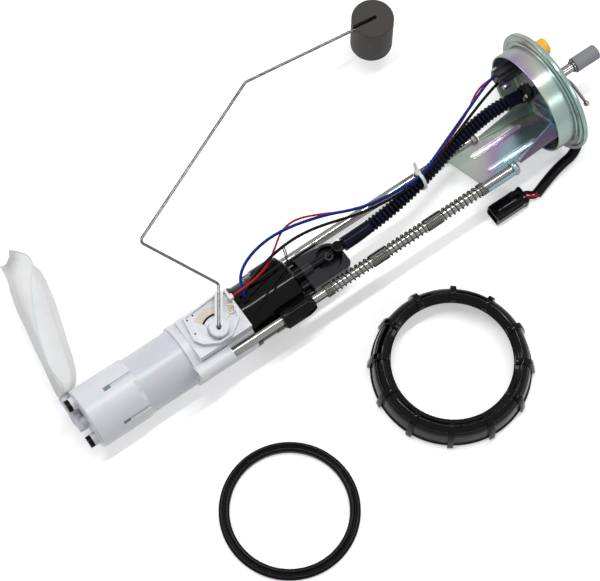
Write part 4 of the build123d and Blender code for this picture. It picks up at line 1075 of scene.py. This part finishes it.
def painted_shade_sheets():
    """Painted shade: a dark sheet in each of the cap's five slots, where the slot's end lies in
    shade.
    """
    count, first_angle = 5, 80
    low, high = (-234.8, 26.2, -1.4), (-228.6, 26.5, 1.4)
    for index in range(count):
        spin = Matrix.Rotation(math.radians(360 / count * index + first_angle), 4, "X")
        turn = Matrix.Translation((0, CAN_Y, CAN_Z)) @ spin
        # Each sheet is painted shade, dark where the slot's end is shaded
        shade_piece = block(f"painted_shade_sheet_{index + 1}", low, high, "dark_plastic", 0.1, turn)
        shade_piece.data.materials[0] = finishes["slot_shade"]
        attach(shade_piece, "reservoir")


painted_shade_sheets()


def sector(inner, outer, low, high, steps=18):
    """The outline of a ring's part, from one angle in degrees to another."""
    angles = [math.radians(low + (high - low) * i / steps) for i in range(steps + 1)]
    made = [(outer * math.cos(a), outer * math.sin(a)) for a in angles]
    return made + [(inner * math.cos(a), inner * math.sin(a)) for a in reversed(angles)]


def at_hub(z):
    return Matrix.Translation((*HUB_CENTRE, z))


def sender():
    """White body over the card, dark contact track, and rims on the arm's hub."""
    white, black = "white_plastic", "black_plastic"
    body = [
        (-149.9, 37.0),
        (-152.4, 17.6),
        (-148.9, 11.8),
        (-141.6, 7.6),
        (-140.2, 9.2),
        (-141.5, 13.7),
        (-140.2, 18.6),
        (-138.2, 21.2),
        (-145.0, 30.2),
        (-142.6, 34.4),
        (-141.8, 37.6),
    ]
    boss = rounded([(58.5, 3.0), (58.5, 4.3), (60.4, 4.3), (60.4, 3.0)], 0.3)
    dot = rounded([(60.2, 0.0), (60.2, 0.75), (60.5, 0.75), (60.5, 0.0)], 0.1, closed=False)
    pieces = [
        prism("sender_body", body, 1.9, Matrix.Translation((0, 0, 58.42)), white, 0.3),
        prism("sender_cover", sector(9.6, 12.4, 66, 127), 0.7, at_hub(59.0), white, 0.15),
        prism("sender_cover_near", sector(9.6, 20.6, 22, 67), 0.8, at_hub(59.0), white, 0.2),
        prism("contact_track", sector(12.9, 14.5, 69, 126), 0.25, at_hub(59.4), "hose_nylon", 0.06),
        lathe("screw_boss", boss, white, (-114.8, 23.4), "z", 40),
    ]
    for index, place in enumerate(((-149.0, 34.6), (-143.2, 35.6), (-149.9, 21.5))):
        pieces.append(lathe(f"sender_dot_{index + 1}", dot, black, place, "z", 20, closed=False))
    for piece in pieces:
        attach(piece, "reservoir")

    # The rims stay open towards the arm
    arm_at, half_gap = 56, 34
    rim_start, rim_end = arm_at + half_gap, arm_at + 360 - half_gap
    for index, (inner, outer, depth) in enumerate(((6.3, 7.6, 0.9), (3.4, 4.3, 0.7))):
        outline = sector(inner, outer, rim_start, rim_end, 40)
        rim = prism(f"hub_rim_{index + 1}", outline, depth, at_hub(65.9), white, 0.2)
        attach(rim, "float_arm")


sender()


def plug_and_connector():
    """The plug's latch, rails, tongue and collar; the connector's latch, rails and lugs."""
    small_blocks = [
        ("plug_latch", (131.0, -20.6, 11.6), (150.5, -14.6, 13.8), "black_plastic", 0.6),
        ("plug_latch_tip", (127.0, -19.6, 11.6), (132.0, -15.6, 12.9), "black_plastic", 0.4),
        ("plug_rail_1", (123.0, -25.7, 9.6), (148.0, -24.7, 11.0), "black_plastic", 0.3),
        ("plug_rail_2", (123.0, -10.5, 9.6), (148.0, -9.5, 11.0), "black_plastic", 0.3),
        ("plug_tongue", (123.6, -20.6, 3.6), (137.5, -14.6, 8.4), "dark_plastic", 0.4),
        ("plug_collar", (151.0, -25.6, 0.2), (154.6, -9.6, 12.4), "black_plastic", 0.8),
        ("connector_latch", (179.4, 61.0, 70.8), (198.0, 65.0, 73.8), "dark_plastic", 0.7),
        ("connector_rail_1", (179.6, 57.6, 70.8), (203.0, 58.8, 72.0), "dark_plastic", 0.3),
        ("connector_rail_2", (179.6, 67.2, 70.8), (203.0, 68.4, 72.0), "dark_plastic", 0.3),
        ("connector_lug_1", (181.0, 68.8, 60.0), (187.0, 72.0, 66.5), "zinc_plate", 0.6),
        ("connector_lug_2", (181.0, 52.4, 58.6), (188.0, 57.2, 63.6), "zinc_plate", 0.8),
    ]
    for name, low, high, slot, bevel in small_blocks:
        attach(block(name, low, high, slot, bevel), "flange_assembly")


plug_and_connector()


# Studio
def direct(tree):
    """1 for a ray that comes from the camera, from gloss or through glass."""
    path = node(tree, "ShaderNodeLightPath")
    total = path.outputs["Is Camera Ray"]
    for kind in ("Is Glossy Ray", "Is Transmission Ray"):
        join = node(tree, "ShaderNodeMath", operation="MAXIMUM")
        tree.links.new(total, join.inputs[0])
        tree.links.new(path.outputs[kind], join.inputs[1])
        total = join.outputs["Value"]
    return total


def surroundings():
    """Plain white where it is seen directly, and a soft grey sky as light."""
    world = bpy.data.worlds.new("world")
    bpy.context.scene.world = world
    world.use_nodes = True
    tree = world.node_tree
    tree.nodes.clear()
    out = node(tree, "ShaderNodeOutputWorld")
    place = node(tree, "ShaderNodeTexCoord")
    split = node(tree, "ShaderNodeSeparateXYZ")
    tree.links.new(place.outputs["Generated"], split.inputs["Vector"])
    sky = ramp(
        tree,
        split.outputs["Z"],
        [
            (0.0, (0.55, 0.55, 0.56)),
            (0.10, (0.10, 0.10, 0.11)),
            (0.30, (0.22, 0.22, 0.23)),
            (0.62, (0.62, 0.63, 0.65)),
            (1.0, (0.46, 0.46, 0.48)),
        ],
    )
    soft = node(tree, "ShaderNodeBackground", Strength=0.6)
    tree.links.new(sky, soft.inputs["Color"])
    plain = node(tree, "ShaderNodeBackground", Strength=1.0, Color=(1, 1, 1, 1))
    mix = node(tree, "ShaderNodeMixShader")
    tree.links.new(direct(tree), mix.inputs["Fac"])
    tree.links.new(soft.outputs["Background"], mix.inputs[1])
    tree.links.new(plain.outputs["Background"], mix.inputs[2])
    tree.links.new(mix.outputs["Shader"], out.inputs["Surface"])


def ground():
    """A pale floor just under the part, with a glow where it is seen directly."""
    half, drop, glow = 3, 0.0004, 0.42
    mesh = bpy.data.meshes.new("floor")
    corners = [(-half, -half, 0), (half, -half, 0), (half, half, 0), (-half, half, 0)]
    mesh.from_pydata(corners, [], [(0, 1, 2, 3)])
    floor = bpy.data.objects.new("floor", mesh)
    floor.location.z = -drop
    bpy.context.scene.collection.objects.link(floor)
    tree, bsdf = shader("floor")
    bsdf.inputs["Base Color"].default_value = (0.9, 0.9, 0.9, 1)
    bsdf.inputs["Roughness"].default_value = 0.9
    bsdf.inputs["Specular IOR Level"].default_value = 0.1
    share = node(tree, "ShaderNodeMath", operation="MULTIPLY")
    share.inputs[1].default_value = glow
    tree.links.new(direct(tree), share.inputs[0])
    tree.links.new(share.outputs["Value"], bsdf.inputs["Emission Strength"])
    bsdf.inputs["Emission Color"].default_value = (1, 1, 1, 1)
    mesh.materials.append(finishes["floor"])


def lamps():
    """A strip over the module, facing down, and two square lamps aimed at the origin."""
    for name, place, size, power in (
        ("lamp_strip", (0.2, 0.13, 1.2), (1.1, 0.05), 7.5),
        ("lamp_left", (-0.6, 1.0, 0.9), (0.35, 0.35), 4.5),
        ("lamp_right", (0.8, -0.8, 0.9), (0.35, 0.35), 2.5),
    ):
        data = bpy.data.lights.new(name, "AREA")
        data.shape = "RECTANGLE"
        data.size, data.size_y = size
        data.energy = power
        lamp = bpy.data.objects.new(name, data)
        lamp.location = place
        if name != "lamp_strip":
            lamp.rotation_euler = (-Vector(place)).to_track_quat("-Z", "Y").to_euler()
        bpy.context.scene.collection.objects.link(lamp)


surroundings()
ground()
lamps()
bpy.context.scene.view_settings.view_transform = "Standard"
